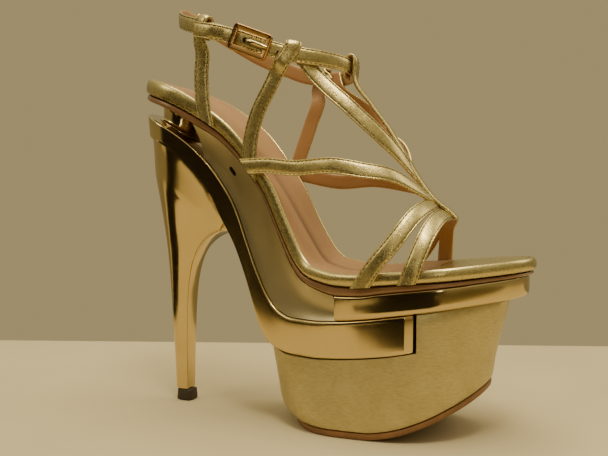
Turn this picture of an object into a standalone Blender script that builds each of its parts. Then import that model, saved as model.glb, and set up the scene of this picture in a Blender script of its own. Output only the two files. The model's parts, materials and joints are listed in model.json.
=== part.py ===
"""Gold platform sandal with a stiletto heel, for the right foot.

The finished parts have their origin on the floor in the middle of the heel tip, +X runs to the toe, +Y to the
inner (medial) side and +Z is up. Sizes here are in millimetres, with x counted from the front of the heel,
and the meshes are moved to the origin and scaled to metres when they are made.
"""

import math
from collections import namedtuple

import bmesh
import bpy
import numpy as np
from mathutils import Vector

MM = 0.001
GAP = 0.3
SHARP_ANGLE = math.radians(35)

# Footbed: the insole's underside seen from the side, and its outline seen from above.
# half is half the width, drift moves the middle towards the inner side, cover is the sole layer below it.
Footbed = namedtuple("Footbed", "x z half drift cover")
FOOTBED = [
    Footbed(-25.0, 175.6, 28.5, 0.0, 2.6),
    Footbed(-18.0, 173.8, 28.5, 0.0, 5.4),
    Footbed(-12.0, 172.0, 28.5, 0.0, 5.8),
    Footbed(0.0, 167.7, 28.5, 0.0, 5.8),
    Footbed(10.0, 162.7, 28.5, 0.0, 5.8),
    Footbed(20.0, 156.3, 28.0, 0.0, 4.8),
    Footbed(30.0, 148.9, 27.0, -0.2, 3.6),
    Footbed(40.0, 138.2, 25.6, -0.6, 2.4),
    Footbed(48.0, 127.5, 24.8, -0.9, 1.7),
    Footbed(55.0, 117.3, 24.6, -1.1, 1.5),
    Footbed(62.0, 102.8, 25.2, -1.2, 1.6),
    Footbed(68.0, 91.3, 26.4, -1.1, 1.9),
    Footbed(74.0, 82.0, 28.2, -1.0, 2.5),
    Footbed(80.0, 76.8, 30.4, -0.9, 3.2),
    Footbed(88.0, 74.5, 33.4, -0.7, 4.1),
    Footbed(98.0, 73.1, 36.4, -0.5, 4.6),
    Footbed(108.0, 73.1, 38.2, -0.2, 4.2),
    Footbed(120.0, 74.4, 38.9, 0.1, 3.6),
    Footbed(148.0, 77.2, 37.6, 1.2, 2.6),
    Footbed(170.0, 79.8, 33.6, 2.8, 2.1),
    Footbed(187.0, 81.8, 31.0, 4.0, 1.8),
]
HEEL_ROUND = 27.0
TOE_ROUND = 45.0
END_FULLNESS = 2.15

INSOLE_THICKNESS = 6.2
RIM_WIDTH = 3.0
SOCK_THICKNESS = 1.2
SOCK_GAP = 0.4
COVER_INSET = 1.5
COVER_SLANT = 3.0
COVER_BREAK = 0.5

# Edges, from the outer face inwards: distance in from the outline, and rise.
Edge = namedtuple("Edge", "inset rise")
INSOLE_EDGE = [
    Edge(1.3, 0.0),
    Edge(0.2, 1.0),
    Edge(0.0, 2.6),
    Edge(0.2, 4.8),
    Edge(1.0, 5.9),
    Edge(1.8, INSOLE_THICKNESS),
    Edge(RIM_WIDTH - 0.4, 5.9),
    Edge(RIM_WIDTH, INSOLE_THICKNESS - SOCK_THICKNESS - GAP),
]
SOCK_EDGE = [
    Edge(RIM_WIDTH + SOCK_GAP, INSOLE_THICKNESS - SOCK_THICKNESS),
    Edge(RIM_WIDTH + SOCK_GAP, INSOLE_THICKNESS - 0.3),
    Edge(RIM_WIDTH + SOCK_GAP + 0.6, INSOLE_THICKNESS),
]

# Bridge: upper and lower edge of its side face, and half its width.
Bridge = namedtuple("Bridge", "x top under half")
BRIDGE = [
    Bridge(-25.0, 162.6, 149.9, 20.6),
    Bridge(-12.0, 156.2, 145.2, 20.6),
    Bridge(0.0, 149.4, 138.1, 20.6),
    Bridge(10.0, 142.3, 129.5, 20.6),
    Bridge(20.0, 133.0, 118.8, 20.6),
    Bridge(28.0, 123.1, 104.2, 20.6),
    Bridge(36.0, 110.8, 90.8, 20.6),
    Bridge(44.0, 91.0, 71.5, 21.0),
    Bridge(51.0, 74.7, 51.6, 21.8),
    Bridge(57.0, 64.2, 42.0, 23.0),
    Bridge(64.0, 57.6, 38.4, 25.0),
    Bridge(72.0, 55.0, 36.8, 27.2),
    Bridge(84.0, 54.8, 36.6, 30.6),
    Bridge(96.0, 55.6, 37.4, 33.2),
    Bridge(110.0, 57.2, 38.9, 34.8),
    Bridge(124.0, 59.4, 41.0, 35.2),
    Bridge(136.5, 61.4, 43.6, 34.8),
]
BRIDGE_HEEL_ROUND = 18.0
BRIDGE_FRONT_ROUND = 5.0
EDGE_BREAK = 0.8

# Heel: rings from the tip to the bridge, each from a point on the back line to one on the breast line;
# half is half the width of the round back and web half the width at the breast.
Heel = namedtuple("Heel", "back_x back_z breast_x breast_z half web")
HEEL = [
    Heel(-9.4, 6.7, -0.6, 6.7, 4.5, 4.3),
    Heel(-10.3, 25.0, -0.6, 25.0, 5.1, 4.8),
    Heel(-11.5, 45.0, -0.4, 45.0, 5.7, 5.3),
    Heel(-12.8, 64.0, 0.4, 62.0, 6.2, 5.6),
    Heel(-14.4, 82.0, 3.0, 77.5, 7.2, 6.0),
    Heel(-16.6, 99.0, 7.4, 87.0, 9.0, 6.6),
    Heel(-18.9, 115.0, 13.8, 93.0, 11.8, 7.4),
    Heel(-21.2, 131.0, 22.5, 96.8, 15.2, 8.6),
]
HEEL_NOSE_LIMIT = 0.45
HEEL_CORNER = 0.96
HEEL_CORNER_WIDTH = 0.86
HEEL_TOP_BACK = -23.0
HEEL_TOP_BREAST = 31.0
HEEL_TOP_HALF = 18.4
HEEL_TOP_WEB = 10.5
HEEL_TIP_BACK = -9.0
HEEL_TIP_BREAST = 1.8
HEEL_TIP_MIDDLE = (HEEL_TIP_BACK + HEEL_TIP_BREAST) / 2
HEEL_TIP_HALF = 4.9
HEEL_TIP_HEIGHT = 6.4

SPOOL_X = -6.8
SPOOL_SIDES = 32
SPOOL_FOOT_GAP = 0.9
Spool = namedtuple("Spool", "share radius")
SPOOL = [
    Spool(0.0, 12.6),
    Spool(0.08, 12.4),
    Spool(0.2, 11.0),
    Spool(0.4, 10.2),
    Spool(0.85, 10.2),
    Spool(1.0, 10.8),
]

ARCH_SHELL_REAR = 17.0
ARCH_SHELL_FRONT = 96.4
ARCH_SHELL_COVE = 2.2
ARCH_SHELL_FOOT_INSET = 1.8
ARCH_SHELL_HEAD_INSET = 2.7
ARCH_SHELL_HEAD_GAP = 0.5
ARCH_SHELL_STATIONS = 26
ARCH_SHELL_STEPS = 5

# Ledge: the level where the toe rail lies on the bridge and the platform.
Ledge = namedtuple("Ledge", "x z")
LEDGE = [
    Ledge(40.0, 55.0),
    Ledge(84.0, 54.8),
    Ledge(96.0, 55.6),
    Ledge(110.0, 57.2),
    Ledge(124.0, 59.4),
    Ledge(137.0, 61.5),
    Ledge(170.0, 67.1),
    Ledge(190.0, 70.0),
]
RAIL_REAR = 96.8
RAIL_FRONT = 183.6
RAIL_INSET = 2.4
RAIL_ROUND = TOE_ROUND - RAIL_INSET
RAIL_LOWER_EDGE = [Edge(2.6, 0.4), Edge(1.4, 0.9), Edge(0.0, 6.3)]
RAIL_UPPER_EDGE = [Edge(0.2, -1.6), Edge(1.6, 0.0)]

# Tread: the underside of the outsole, flat under the ball and rising to the toe.
Tread = namedtuple("Tread", "x z")
TREAD = [
    Tread(50.0, 0.0),
    Tread(112.0, 0.0),
    Tread(124.0, 1.9),
    Tread(138.0, 6.7),
    Tread(152.0, 13.8),
    Tread(161.0, 19.4),
    Tread(168.0, 25.0),
    Tread(176.0, 32.0),
]
OUTSOLE_THICKNESS = 3.6
OUTSOLE_REAR = 68.4
OUTSOLE_EDGE = [Edge(1.6, 0.0), Edge(0.4, 1.0), Edge(0.4, OUTSOLE_THICKNESS)]

# Platform: half widths of the covered block at its head and at its foot.
Platform = namedtuple("Platform", "x head foot")
PLATFORM = [
    Platform(46.0, 27.0, 28.0),
    Platform(70.0, 29.5, 33.6),
    Platform(85.0, 31.6, 35.4),
    Platform(104.0, 34.2, 35.6),
    Platform(124.0, 35.0, 34.8),
    Platform(148.0, 33.8, 32.6),
    Platform(168.0, 30.6, 29.4),
    Platform(178.0, 29.0, 28.0),
]
PLATFORM_HEAD_REAR = 50.0
PLATFORM_HEAD_FRONT = 174.6
PLATFORM_FOOT_FRONT = 166.9
PLATFORM_REAR_ROUND = 30.0
PLATFORM_HEAD_EDGE = [Edge(0.0, -1.0), Edge(0.9, 0.0)]
NOTCH_REAR = 40.0
NOTCH_REACH = 60.0
NOTCH_CEILING = 90.0
NOTCH_STATIONS = 36

# Rounded foot of the platform: rise above the outsole, start at the rear, inset, and share of the way from
# the foot's outline to the head's.
Foot = namedtuple("Foot", "rise rear inset share")
PLATFORM_FOOT = [
    Foot(0.0, 67.6, 0.9, 0.0),
    Foot(1.2, 65.6, 0.0, 0.02),
    Foot(4.0, 62.2, 0.0, 0.08),
    Foot(10.0, 59.0, 0.0, 0.2),
]

# Last: height of the instep ridge that the straps lie on, how much lower the inner side hangs, and half the
# width of the ankle opening.
Last = namedtuple("Last", "x crown dip opening")
LAST = [
    Last(-5.0, 211.5, 0.0, 0.0),
    Last(20.0, 201.8, 8.0, 26.9),
    Last(45.0, 194.4, 6.5, 31.0),
    Last(62.0, 188.6, 5.6, 28.8),
    Last(74.0, 186.2, 5.0, 24.3),
    Last(88.0, 183.4, 3.5, 14.0),
    Last(94.0, 178.6, 0.0, 7.5),
    Last(103.5, 162.8, 0.0, 0.0),
    Last(115.0, 147.6, 0.0, 0.0),
    Last(123.5, 132.2, 0.0, 0.0),
    Last(132.5, 117.0, 0.0, 0.0),
    Last(143.5, 107.6, 0.0, 0.0),
    Last(150.0, 103.0, 0.0, 0.0),
    Last(187.0, 92.0, 0.0, 0.0),
]
LAST_FULLNESS = 2.2

STRAP_WIDTH = 8.0
STRAP_THICKNESS = 1.8
STRAP_CLEAR = 0.5

# Ankle strap: an oval loop round the ankle, its height given by the angle from the back over the outer side.
ANKLE_X = 44.0
ANKLE_LENGTH = 48.4
ANKLE_WIDTH = 31.0
Ankle = namedtuple("Ankle", "angle z")
ANKLE = [
    Ankle(0.0, 216.4),
    Ankle(14.0, 214.2),
    Ankle(30.0, 210.2),
    Ankle(60.0, 203.2),
    Ankle(90.0, 194.8),
    Ankle(110.0, 188.8),
    Ankle(125.0, 186.3),
    Ankle(150.0, 184.4),
    Ankle(180.0, 182.6),
    Ankle(210.0, 180.6),
    Ankle(235.0, 181.4),
    Ankle(255.0, 184.4),
    Ankle(270.0, 189.0),
    Ankle(290.0, 196.4),
    Ankle(305.0, 203.0),
    Ankle(320.0, 209.0),
    Ankle(340.0, 214.6),
    Ankle(360.0, 216.4),
]
LAYER = STRAP_THICKNESS + GAP
BUCKLE_ANGLE = 98.4
STRAP_START_ANGLE = 90.0
STRAP_TIP_ANGLE = 62.0
STRAP_TIP_DROP = 1.6
OVERLAP_END_ANGLE = 104.0
OVERLAP_START_ANGLE = 117.0
ANKLE_STATIONS = 97
LOOP_RISE = LAYER + 0.5
LOOP_RISE_START = 82.0
LOOP_RISE_END = 71.0

# Strap routes on the last: turn is 0 at the outer edge of the footbed, 90 on the ridge and 180 at the inner
# edge, and lift is the height of the strap's underside above the last.
Route = namedtuple("Route", "x turn lift")
TOE_STRAP_REAR = [
    Route(111.3, 0.0, 0.0),
    Route(117.5, 6.0, 0.0),
    Route(125.5, 18.0, 0.0),
    Route(133.0, 46.0, 0.0),
    Route(137.5, 90.0, 0.0),
    Route(133.5, 134.0, 0.0),
    Route(127.5, 162.0, 0.0),
    Route(121.0, 174.0, 0.0),
    Route(116.0, 180.0, 0.0),
]
TOE_STRAP_FRONT = [
    Route(133.2, 0.0, 0.0),
    Route(136.5, 12.0, 0.0),
    Route(140.0, 34.0, 0.0),
    Route(142.4, 60.0, 0.0),
    Route(144.0, 90.0, 0.0),
    Route(142.0, 118.0, 0.0),
    Route(138.0, 140.0, 0.0),
    Route(136.0, 162.0, 0.0),
    Route(135.0, 180.0, 0.0),
]
WAIST_STRAP_LATERAL = [
    Route(45.6, 0.0, 1.4),
    Route(58.0, 12.8, 1.2),
    Route(72.0, 24.2, 0.0),
    Route(95.5, 31.5, 0.0),
    Route(109.0, 40.0, 0.0),
    Route(120.5, 53.0, 0.2),
    Route(129.0, 72.0, 0.8),
    Route(136.0, 90.0, 0.8),
]
WAIST_STRAP_MEDIAL = [
    Route(45.6, 180.0, 1.4),
    Route(58.0, 168.4, 1.2),
    Route(77.5, 155.5, 0.0),
    Route(97.0, 151.0, 0.0),
    Route(111.5, 143.0, 0.0),
    Route(121.5, 133.0, 0.2),
    Route(129.0, 112.0, 0.8),
    Route(136.0, 90.0, 0.8),
]
INSTEP_STRAP_RISE_LATERAL = [
    Route(47.4, 0.0, 0.0),
    Route(47.6, 5.0, 0.0),
    Route(49.0, 17.0, 0.0),
    Route(53.0, 31.0, 0.2),
    Route(59.0, 47.0, 0.4),
    Route(64.0, 62.0, 0.8),
]
INSTEP_STRAP_RISE_MEDIAL = [
    Route(50.0, 180.0, 0.0),
    Route(52.5, 172.0, 0.0),
    Route(55.5, 161.0, 0.0),
    Route(60.5, 141.0, 0.2),
    Route(64.5, 121.0, 0.8),
]
INSTEP_STRAP_FALL_LATERAL = [
    Route(100.5, 62.5, 0.0),
    Route(113.0, 69.0, 0.0),
    Route(120.5, 78.5, 0.2),
    Route(127.5, 90.0, 0.6),
]
INSTEP_STRAP_FALL_MEDIAL = [
    Route(95.0, 123.0, 0.0),
    Route(105.0, 121.0, 0.0),
    Route(115.0, 113.0, 0.2),
    Route(127.5, 90.0, 0.6),
]
CENTRE_STRAP = [
    Route(147.6, 90.0, 1.0),
    Route(144.4, 90.0, 1.6),
    Route(140.0, 90.0, 1.6),
    Route(135.0, 90.0, 1.7),
    Route(129.0, 90.0, 1.5),
    Route(122.0, 90.0, 0.6),
    Route(113.0, 90.0, 0.0),
    Route(103.5, 90.0, 0.2),
]
HEEL_STRAP = [
    Route(23.6, 0.0, 0.0),
    Route(21.8, 10.0, 0.0),
    Route(21.0, 28.0, 0.0),
    Route(21.6, 48.0, 0.6),
]
INSTEP_LOOP_LATERAL = 123.0
INSTEP_LOOP_MEDIAL = 242.0
INSTEP_LOOP_TAIL = 2.0
CENTRE_LOOP = 180.0
HEEL_LOOP = 62.5
HEEL_LOOP_LEAN = -1.5
LOOP_LEAN_OUT = 4.0
LOOP_LEAN_IN = 11.0
LOOP_TAIL = 5.6
LOOP_SHOULDER = 0.3
LOOP_CLEAR_OUT = 0.15
LOOP_CLEAR_IN = 0.9

# Upper ends of the falling instep straps inside the ankle strap, at a height from its middle.
Hang = namedtuple("Hang", "angle height")
INSTEP_HANG_LATERAL = [Hang(128.0, 2.0), Hang(135.0, -4.0)]
INSTEP_HANG_MEDIAL = [Hang(225.0, 1.5), Hang(219.0, -6.0)]
HANG_CLEAR = 0.7
FALL_TWIST = 2.0
MITRE_REACH = 14.0
RIM_REACH = 4.0

BUCKLE_LENGTH = 21.6
BUCKLE_HEIGHT = 13.6
BUCKLE_BAR = 2.6
BUCKLE_CORNER = 2.0
BUCKLE_WINDOW_CORNER = 0.8
BUCKLE_DEPTH = 1.4
BUCKLE_TOP = 5.6
BAR_RADIUS = 0.7
BAR_ALONG = -5.6
PRONG_RADIUS = 0.75
PRONG_HOLE_RADIUS = 1.25
HOLE_RADIUS = 1.0
SPARE_HOLES = [6.1, 14.6]
HOLE_INSIDE = -1.5
HOLE_OUTSIDE = 6.0
ROUND_SIDES = 12

# Half of the bar that goes under the strap, from its middle up to the frame.
Bar = namedtuple("Bar", "across out")
BAR = [
    Bar(0.0, 0.9),
    Bar(4.7, 0.9),
    Bar(5.5, 1.6),
    Bar(5.5, 4.5),
]

# Prong in the buckle's own directions: from beside the bar, up through the strap and onto the frame.
Prong = namedtuple("Prong", "along out")
PRONG_HOLE = [Prong(-3.5, 1.4), Prong(-1.2, 6.0)]
PRONG = [
    Prong(-3.7, 1.2),
    Prong(-3.0, 2.4),
    Prong(-2.0, 4.4),
    Prong(-0.6, 6.1),
    Prong(2.0, 6.6),
    Prong(7.0, 6.8),
    Prong(10.4, 6.7),
]

Finish = namedtuple("Finish", "colour roughness metallic")
FINISHES = {
    "mirror_gold": Finish((0.52, 0.38, 0.18), 0.12, 1.0),
    "gold_strap_leather": Finish((0.55, 0.47, 0.2), 0.35, 0.8),
    "satin_gold_leather": Finish((0.5, 0.42, 0.18), 0.45, 0.7),
    "nude_leather": Finish((0.5, 0.28, 0.15), 0.55, 0.0),
    "brown_leather": Finish((0.24, 0.12, 0.05), 0.5, 0.0),
    "tan_sole": Finish((0.36, 0.2, 0.12), 0.4, 0.0),
    "dark_rubber": Finish((0.05, 0.03, 0.02), 0.6, 0.0),
    "copper_gold": Finish((0.5, 0.28, 0.1), 0.2, 1.0),
}

for leftover in list(bpy.data.objects):
    bpy.data.objects.remove(leftover)
parts = bpy.data.collections.new("platform_stiletto_sandal")
cutters = bpy.data.collections.new("cutters")
for group in (parts, cutters):
    bpy.context.scene.collection.children.link(group)


def material(name):
    """Principled material of one of the finishes."""
    found = bpy.data.materials.get(name)
    if found:
        return found
    made = bpy.data.materials.new(name)
    made.use_nodes = True
    shader = made.node_tree.nodes["Principled BSDF"]
    finish = FINISHES[name]
    shader.inputs["Base Color"].default_value = (*finish.colour, 1.0)
    shader.inputs["Roughness"].default_value = finish.roughness
    shader.inputs["Metallic"].default_value = finish.metallic
    return made


def add_object(name, bm, finish):
    """New part from a bmesh in millimetres."""
    bmesh.ops.translate(bm, vec=(-HEEL_TIP_MIDDLE, 0, 0), verts=bm.verts)
    bmesh.ops.scale(bm, vec=(MM, MM, MM), verts=bm.verts)
    bmesh.ops.recalc_face_normals(bm, faces=bm.faces)
    mesh = bpy.data.meshes.new(name)
    bm.to_mesh(mesh)
    bm.free()
    mesh.shade_smooth()
    mesh.set_sharp_from_angle(angle=SHARP_ANGLE)
    mesh.materials.append(material(finish))
    made = bpy.data.objects.new(name, mesh)
    parts.objects.link(made)
    return made


def make_cutter(made):
    """Keeps a solid only as a tool for Boolean modifiers."""
    parts.objects.unlink(made)
    cutters.objects.link(made)
    made.hide_render = True
    made.display_type = "WIRE"
    return made


def boolean(target, operation, tool):
    """Live Boolean modifier on a part."""
    step = target.modifiers.new(f"{operation.lower()}_{tool.name}", "BOOLEAN")
    step.operation = operation
    step.object = tool


def skin(name, rings, finish):
    """Closed solid through rings of equally many points, capped at both ends."""
    bm = bmesh.new()
    loops = [[bm.verts.new(point) for point in ring] for ring in rings]
    for near, far in zip(loops, loops[1:]):
        for i in range(len(near)):
            j = (i + 1) % len(near)
            bm.faces.new((near[i], near[j], far[j], far[i]))
    bm.faces.new(loops[0][::-1])
    bm.faces.new(loops[-1])
    return add_object(name, bm, finish)


def smooth(table, column, key="x"):
    """Smooth curve through one column of a table, without overshoot between its rows."""
    xs = np.array([getattr(row, key) for row in table], float)
    ys = np.array([getattr(row, column) for row in table], float)
    step = np.diff(xs)
    rise = np.diff(ys) / step
    both = rise[:-1] * rise[1:]
    inner = np.where(both > 0, 2 * both / np.where(both > 0, rise[:-1] + rise[1:], 1.0), 0.0)
    slope = np.concatenate([rise[:1], inner, rise[-1:]])

    def at(x):
        x = min(max(x, xs[0]), xs[-1])
        i = min(max(int(np.searchsorted(xs, x)) - 1, 0), len(xs) - 2)
        t = (x - xs[i]) / step[i]
        start = (1 + 2 * t) * (1 - t) ** 2 * ys[i] + t * (1 - t) ** 2 * step[i] * slope[i]
        end = t * t * (3 - 2 * t) * ys[i + 1] + t * t * (t - 1) * step[i] * slope[i + 1]
        return float(start + end)

    return at


footbed_z = smooth(FOOTBED, "z")
footbed_half = smooth(FOOTBED, "half")
footbed_drift = smooth(FOOTBED, "drift")
cover_thickness = smooth(FOOTBED, "cover")
bridge_top = smooth(BRIDGE, "top")
bridge_under = smooth(BRIDGE, "under")
bridge_half = smooth(BRIDGE, "half")
ledge_z = smooth(LEDGE, "z")
tread_z = smooth(TREAD, "z")
platform_head = smooth(PLATFORM, "head")
platform_foot = smooth(PLATFORM, "foot")
last_crown = smooth(LAST, "crown")
last_dip = smooth(LAST, "dip")
last_opening = smooth(LAST, "opening")
ankle_z = smooth(ANKLE, "z", key="angle")


def normal_of(height, x):
    """Upward normal of a side-view line at x."""
    slope = (height(x + 0.5) - height(x - 0.5))
    length = math.hypot(slope, 1.0)
    return -slope / length, 1.0 / length


def shares(count):
    """Stations along an outline, closer together towards its round ends."""
    first = 0.4
    return [0.5 - 0.5 * math.cos(math.pi * (i + first) / (count - 1 + 2 * first)) for i in range(count)]


def round_end(distance, reach):
    """Share of the full width at a distance in from a rounded end."""
    if reach == 0:
        return 1.0
    free = 1.0 - min(max(distance / reach, 0.0), 1.0)
    return (1.0 - free ** END_FULLNESS) ** (1.0 / END_FULLNESS)


Outline = namedtuple("Outline", "rear front rear_round front_round half")
FOOT_OUTLINE = Outline(FOOTBED[0].x, FOOTBED[-1].x, HEEL_ROUND, TOE_ROUND, footbed_half)
BRIDGE_OUTLINE = Outline(BRIDGE[0].x, BRIDGE[-1].x, BRIDGE_HEEL_ROUND, BRIDGE_FRONT_ROUND, bridge_half)
RAIL_OUTLINE = Outline(RAIL_REAR, RAIL_FRONT, 0, RAIL_ROUND, lambda x: footbed_half(x) - RAIL_INSET)
HEAD_OUTLINE = Outline(PLATFORM_HEAD_REAR, PLATFORM_HEAD_FRONT, PLATFORM_REAR_ROUND, TOE_ROUND, platform_head)
TREAD_OUTLINE = Outline(OUTSOLE_REAR, PLATFORM_FOOT_FRONT, PLATFORM_REAR_ROUND, TOE_ROUND, platform_foot)
SLAB_STATIONS = 46
BRIDGE_STATIONS = 52
RAIL_STATIONS = 58


def edge_line(outline, inset, place):
    """Line along both edges of an outline moved in by inset, put at its height by place(x, y)."""
    def at(share):
        rear = outline.rear + inset
        front = outline.front - (inset if outline.front_round else 0)
        if not outline.rear_round:
            rear = outline.rear
        x = rear + (front - rear) * share
        half = (outline.half(x) - inset) * round_end(x - rear, outline.rear_round)
        half *= round_end(front - x, outline.front_round)
        middle = footbed_drift(x)
        return place(x, middle - half), place(x, middle + half)
    return at


def on_footbed(rise):
    """Places a point at a rise above the underside of the insole, square to the footbed."""
    def place(x, y):
        along, up = normal_of(footbed_z, x)
        height = rise(x) if callable(rise) else rise
        return (x + height * along, y, footbed_z(x) + height * up)
    return place


def at_height(height, rise=0.0):
    """Places a point at a rise above a height that follows the station."""
    return lambda x, y: (x, y, height(x) + rise)


def edge_lines(outline, edges, height):
    """Lines of an outline's edge profile, whose rises count from a height that follows the station."""
    return [edge_line(outline, edge.inset, at_height(height, edge.rise)) for edge in edges]


def loft(name, lines, stations, finish):
    """Solid whose rings run up the outer edge lines and down the inner ones."""
    rings = []
    for share in stations:
        pairs = [line(share) for line in lines]
        rings.append([pair[0] for pair in pairs] + [pair[1] for pair in reversed(pairs)])
    return skin(name, rings, finish)


def build_insole():
    """Footbed with a rounded rim and a shallow recess, and the lining let into it."""
    rim = [edge_line(FOOT_OUTLINE, edge.inset, on_footbed(edge.rise)) for edge in INSOLE_EDGE]
    loft("insole", rim, shares(SLAB_STATIONS), "satin_gold_leather")
    lining = [edge_line(FOOT_OUTLINE, edge.inset, on_footbed(edge.rise)) for edge in SOCK_EDGE]
    loft("sock", lining, shares(SLAB_STATIONS), "nude_leather")


def cover_under(x):
    """Depth of the sole cover's underside below the insole."""
    return -GAP - cover_thickness(x)


def build_sole_cover():
    """Thin sole layer under the insole, set in from its rim."""
    lines = [
        edge_line(FOOT_OUTLINE, COVER_INSET + COVER_SLANT, on_footbed(cover_under)),
        edge_line(FOOT_OUTLINE, COVER_INSET, on_footbed(lambda x: cover_under(x) + COVER_BREAK)),
        edge_line(FOOT_OUTLINE, COVER_INSET, on_footbed(-GAP)),
    ]
    loft("sole_cover", lines, shares(SLAB_STATIONS), "tan_sole")


def build_bridge():
    """Curved slab from the heel top over the arch to the front of the platform."""
    lines = [
        edge_line(BRIDGE_OUTLINE, EDGE_BREAK, at_height(bridge_under)),
        edge_line(BRIDGE_OUTLINE, 0, at_height(bridge_under, EDGE_BREAK)),
        edge_line(BRIDGE_OUTLINE, 0, at_height(bridge_top, -EDGE_BREAK)),
        edge_line(BRIDGE_OUTLINE, EDGE_BREAK, at_height(bridge_top)),
    ]
    loft("bridge", lines, shares(BRIDGE_STATIONS), "mirror_gold")


def heel_ring(back, breast, half, web):
    """Ring between a point on the back line and one on the breast line, with a round back."""
    length = math.dist(back, breast)
    nose = min(half / length, HEEL_NOSE_LIMIT)
    side = [(nose * (1 - math.cos(a)), half * math.sin(a)) for a in np.radians([0, 18, 36, 54, 72, 90])]
    side.append(((nose + HEEL_CORNER) / 2, (half + web) / 2))
    side += [(HEEL_CORNER, web), (1.0, HEEL_CORNER_WIDTH * web)]
    points = [(share, -width) for share, width in side]
    points += [(share, width) for share, width in reversed(side[1:])]
    return [(back[0] + share * (breast[0] - back[0]), y, back[1] + share * (breast[1] - back[1]))
            for share, y in points]


def build_heel():
    """Stiletto with a round back and a web that meets the underside of the bridge."""
    rings = [heel_ring((r.back_x, r.back_z), (r.breast_x, r.breast_z), r.half, r.web) for r in HEEL]
    flat = heel_ring((HEEL_TOP_BACK, 0.0), (HEEL_TOP_BREAST, 0.0), HEEL_TOP_HALF, HEEL_TOP_WEB)
    seat_gap = 2 * GAP
    rings.append([(x, y, bridge_under(x) - seat_gap) for x, y, _ in flat])
    skin("heel", rings, "mirror_gold")
    outline = heel_ring((HEEL_TIP_BACK, 0.0), (HEEL_TIP_BREAST, 0.0), HEEL_TIP_HALF, HEEL_TIP_HALF)
    levels = [0.0, HEEL_TIP_HEIGHT]
    skin("heel_tip", [[(x, y, z) for x, y, _ in outline] for z in levels], "dark_rubber")


def under_cover(x):
    """Height of a seat just below the sole cover."""
    _, up = normal_of(footbed_z, x)
    return footbed_z(x) + (cover_under(x) - GAP) / up


def build_spool():
    """Turned pillar whose ends follow the bridge and the heel seat."""
    turns = [2 * math.pi * i / SPOOL_SIDES for i in range(SPOOL_SIDES)]
    rings = []
    for share, radius in SPOOL:
        ring = []
        for turn in turns:
            x = SPOOL_X + radius * math.cos(turn)
            low = bridge_top(x) + SPOOL_FOOT_GAP
            ring.append((x, radius * math.sin(turn), low + share * (under_cover(x) - low)))
        rings.append(ring)
    skin("spool", rings, "mirror_gold")


def build_arch_shell():
    """Coved wall between the bridge and the sole cover."""
    def ring(x):
        along, up = normal_of(bridge_top, x)
        low = (x + GAP * along, bridge_half(x) - ARCH_SHELL_FOOT_INSET, bridge_top(x) + GAP * up)
        along, up = normal_of(footbed_z, x)
        depth = cover_under(x) - ARCH_SHELL_HEAD_GAP
        high = (x + depth * along, footbed_half(x) - ARCH_SHELL_HEAD_INSET, footbed_z(x) + depth * up)
        points = []
        for k in range(ARCH_SHELL_STEPS + 1):
            share = k / ARCH_SHELL_STEPS
            points.append([a + share * (b - a) for a, b in zip(low, high)])
            points[-1][1] -= ARCH_SHELL_COVE * 4 * share * (1 - share)
        middle = footbed_drift(x)
        outer = [(px, middle - half, pz) for px, half, pz in points]
        inner = [(px, middle + half, pz) for px, half, pz in reversed(points)]
        return outer + inner

    stations = np.linspace(ARCH_SHELL_REAR, ARCH_SHELL_FRONT, ARCH_SHELL_STATIONS)
    skin("arch_shell", [ring(x) for x in stations], "mirror_gold")


def build_toe_rail():
    """Rail under the forefoot, from the arch round the toe."""
    lines = edge_lines(RAIL_OUTLINE, RAIL_LOWER_EDGE, ledge_z)
    lines += edge_lines(RAIL_OUTLINE, RAIL_UPPER_EDGE, under_cover)
    front_half = [2 * share - 1 for share in shares(RAIL_STATIONS) if share > 0.5]
    loft("toe_rail", lines, [0.0] + front_half, "mirror_gold")


def foot_outline(foot):
    """Outline of the platform at one of the rows of its rounded foot."""
    front = PLATFORM_FOOT_FRONT + foot.share * (PLATFORM_HEAD_FRONT - PLATFORM_FOOT_FRONT)

    def half(x):
        return platform_foot(x) + foot.share * (platform_head(x) - platform_foot(x))

    return Outline(foot.rear, front, PLATFORM_REAR_ROUND, TOE_ROUND, half)


def block_foot(x):
    """Height of the platform's underside above the outsole."""
    return tread_z(x) + OUTSOLE_THICKNESS + GAP


def build_platform():
    """Covered block with a notch on top that takes the bridge, and the thin outsole below it."""
    lines = []
    for foot in PLATFORM_FOOT:
        lines.append(edge_line(foot_outline(foot), foot.inset, at_height(block_foot, foot.rise)))
    lines += edge_lines(HEAD_OUTLINE, PLATFORM_HEAD_EDGE, ledge_z)
    block = loft("platform", lines, shares(SLAB_STATIONS), "satin_gold_leather")
    rings = []
    for x in np.linspace(NOTCH_REAR, BRIDGE[-1].x + GAP, NOTCH_STATIONS):
        low = bridge_under(x) - 2 * GAP
        outer = [(x, -NOTCH_REACH, low), (x, -NOTCH_REACH, NOTCH_CEILING)]
        rings.append(outer + [(x, NOTCH_REACH, NOTCH_CEILING), (x, NOTCH_REACH, low)])
    boolean(block, "DIFFERENCE", make_cutter(skin("bridge_notch", rings, "satin_gold_leather")))
    loft("outsole", edge_lines(TREAD_OUTLINE, OUTSOLE_EDGE, tread_z), shares(SLAB_STATIONS), "brown_leather")


def last_point(x, turn):
    """Point on the last: turn 0 is the outer edge of the footbed, 90 the ridge, 180 the inner edge."""
    side = -1.0 if turn <= 90 else 1.0
    angle = math.radians(turn)
    power = 2.0 / LAST_FULLNESS
    out = abs(math.cos(angle)) ** power
    rise = math.sin(angle) ** power
    base = footbed_half(x) * round_end(x - FOOTBED[0].x, HEEL_ROUND) + STRAP_CLEAR
    half = last_opening(x) + (base - last_opening(x)) * out
    crown = last_crown(x) - (last_dip(x) if side > 0 else 0.0)
    low = footbed_z(x)
    return Vector((x, footbed_drift(x) * (1 - rise) + side * half, low + (crown - low) * rise))


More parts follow.
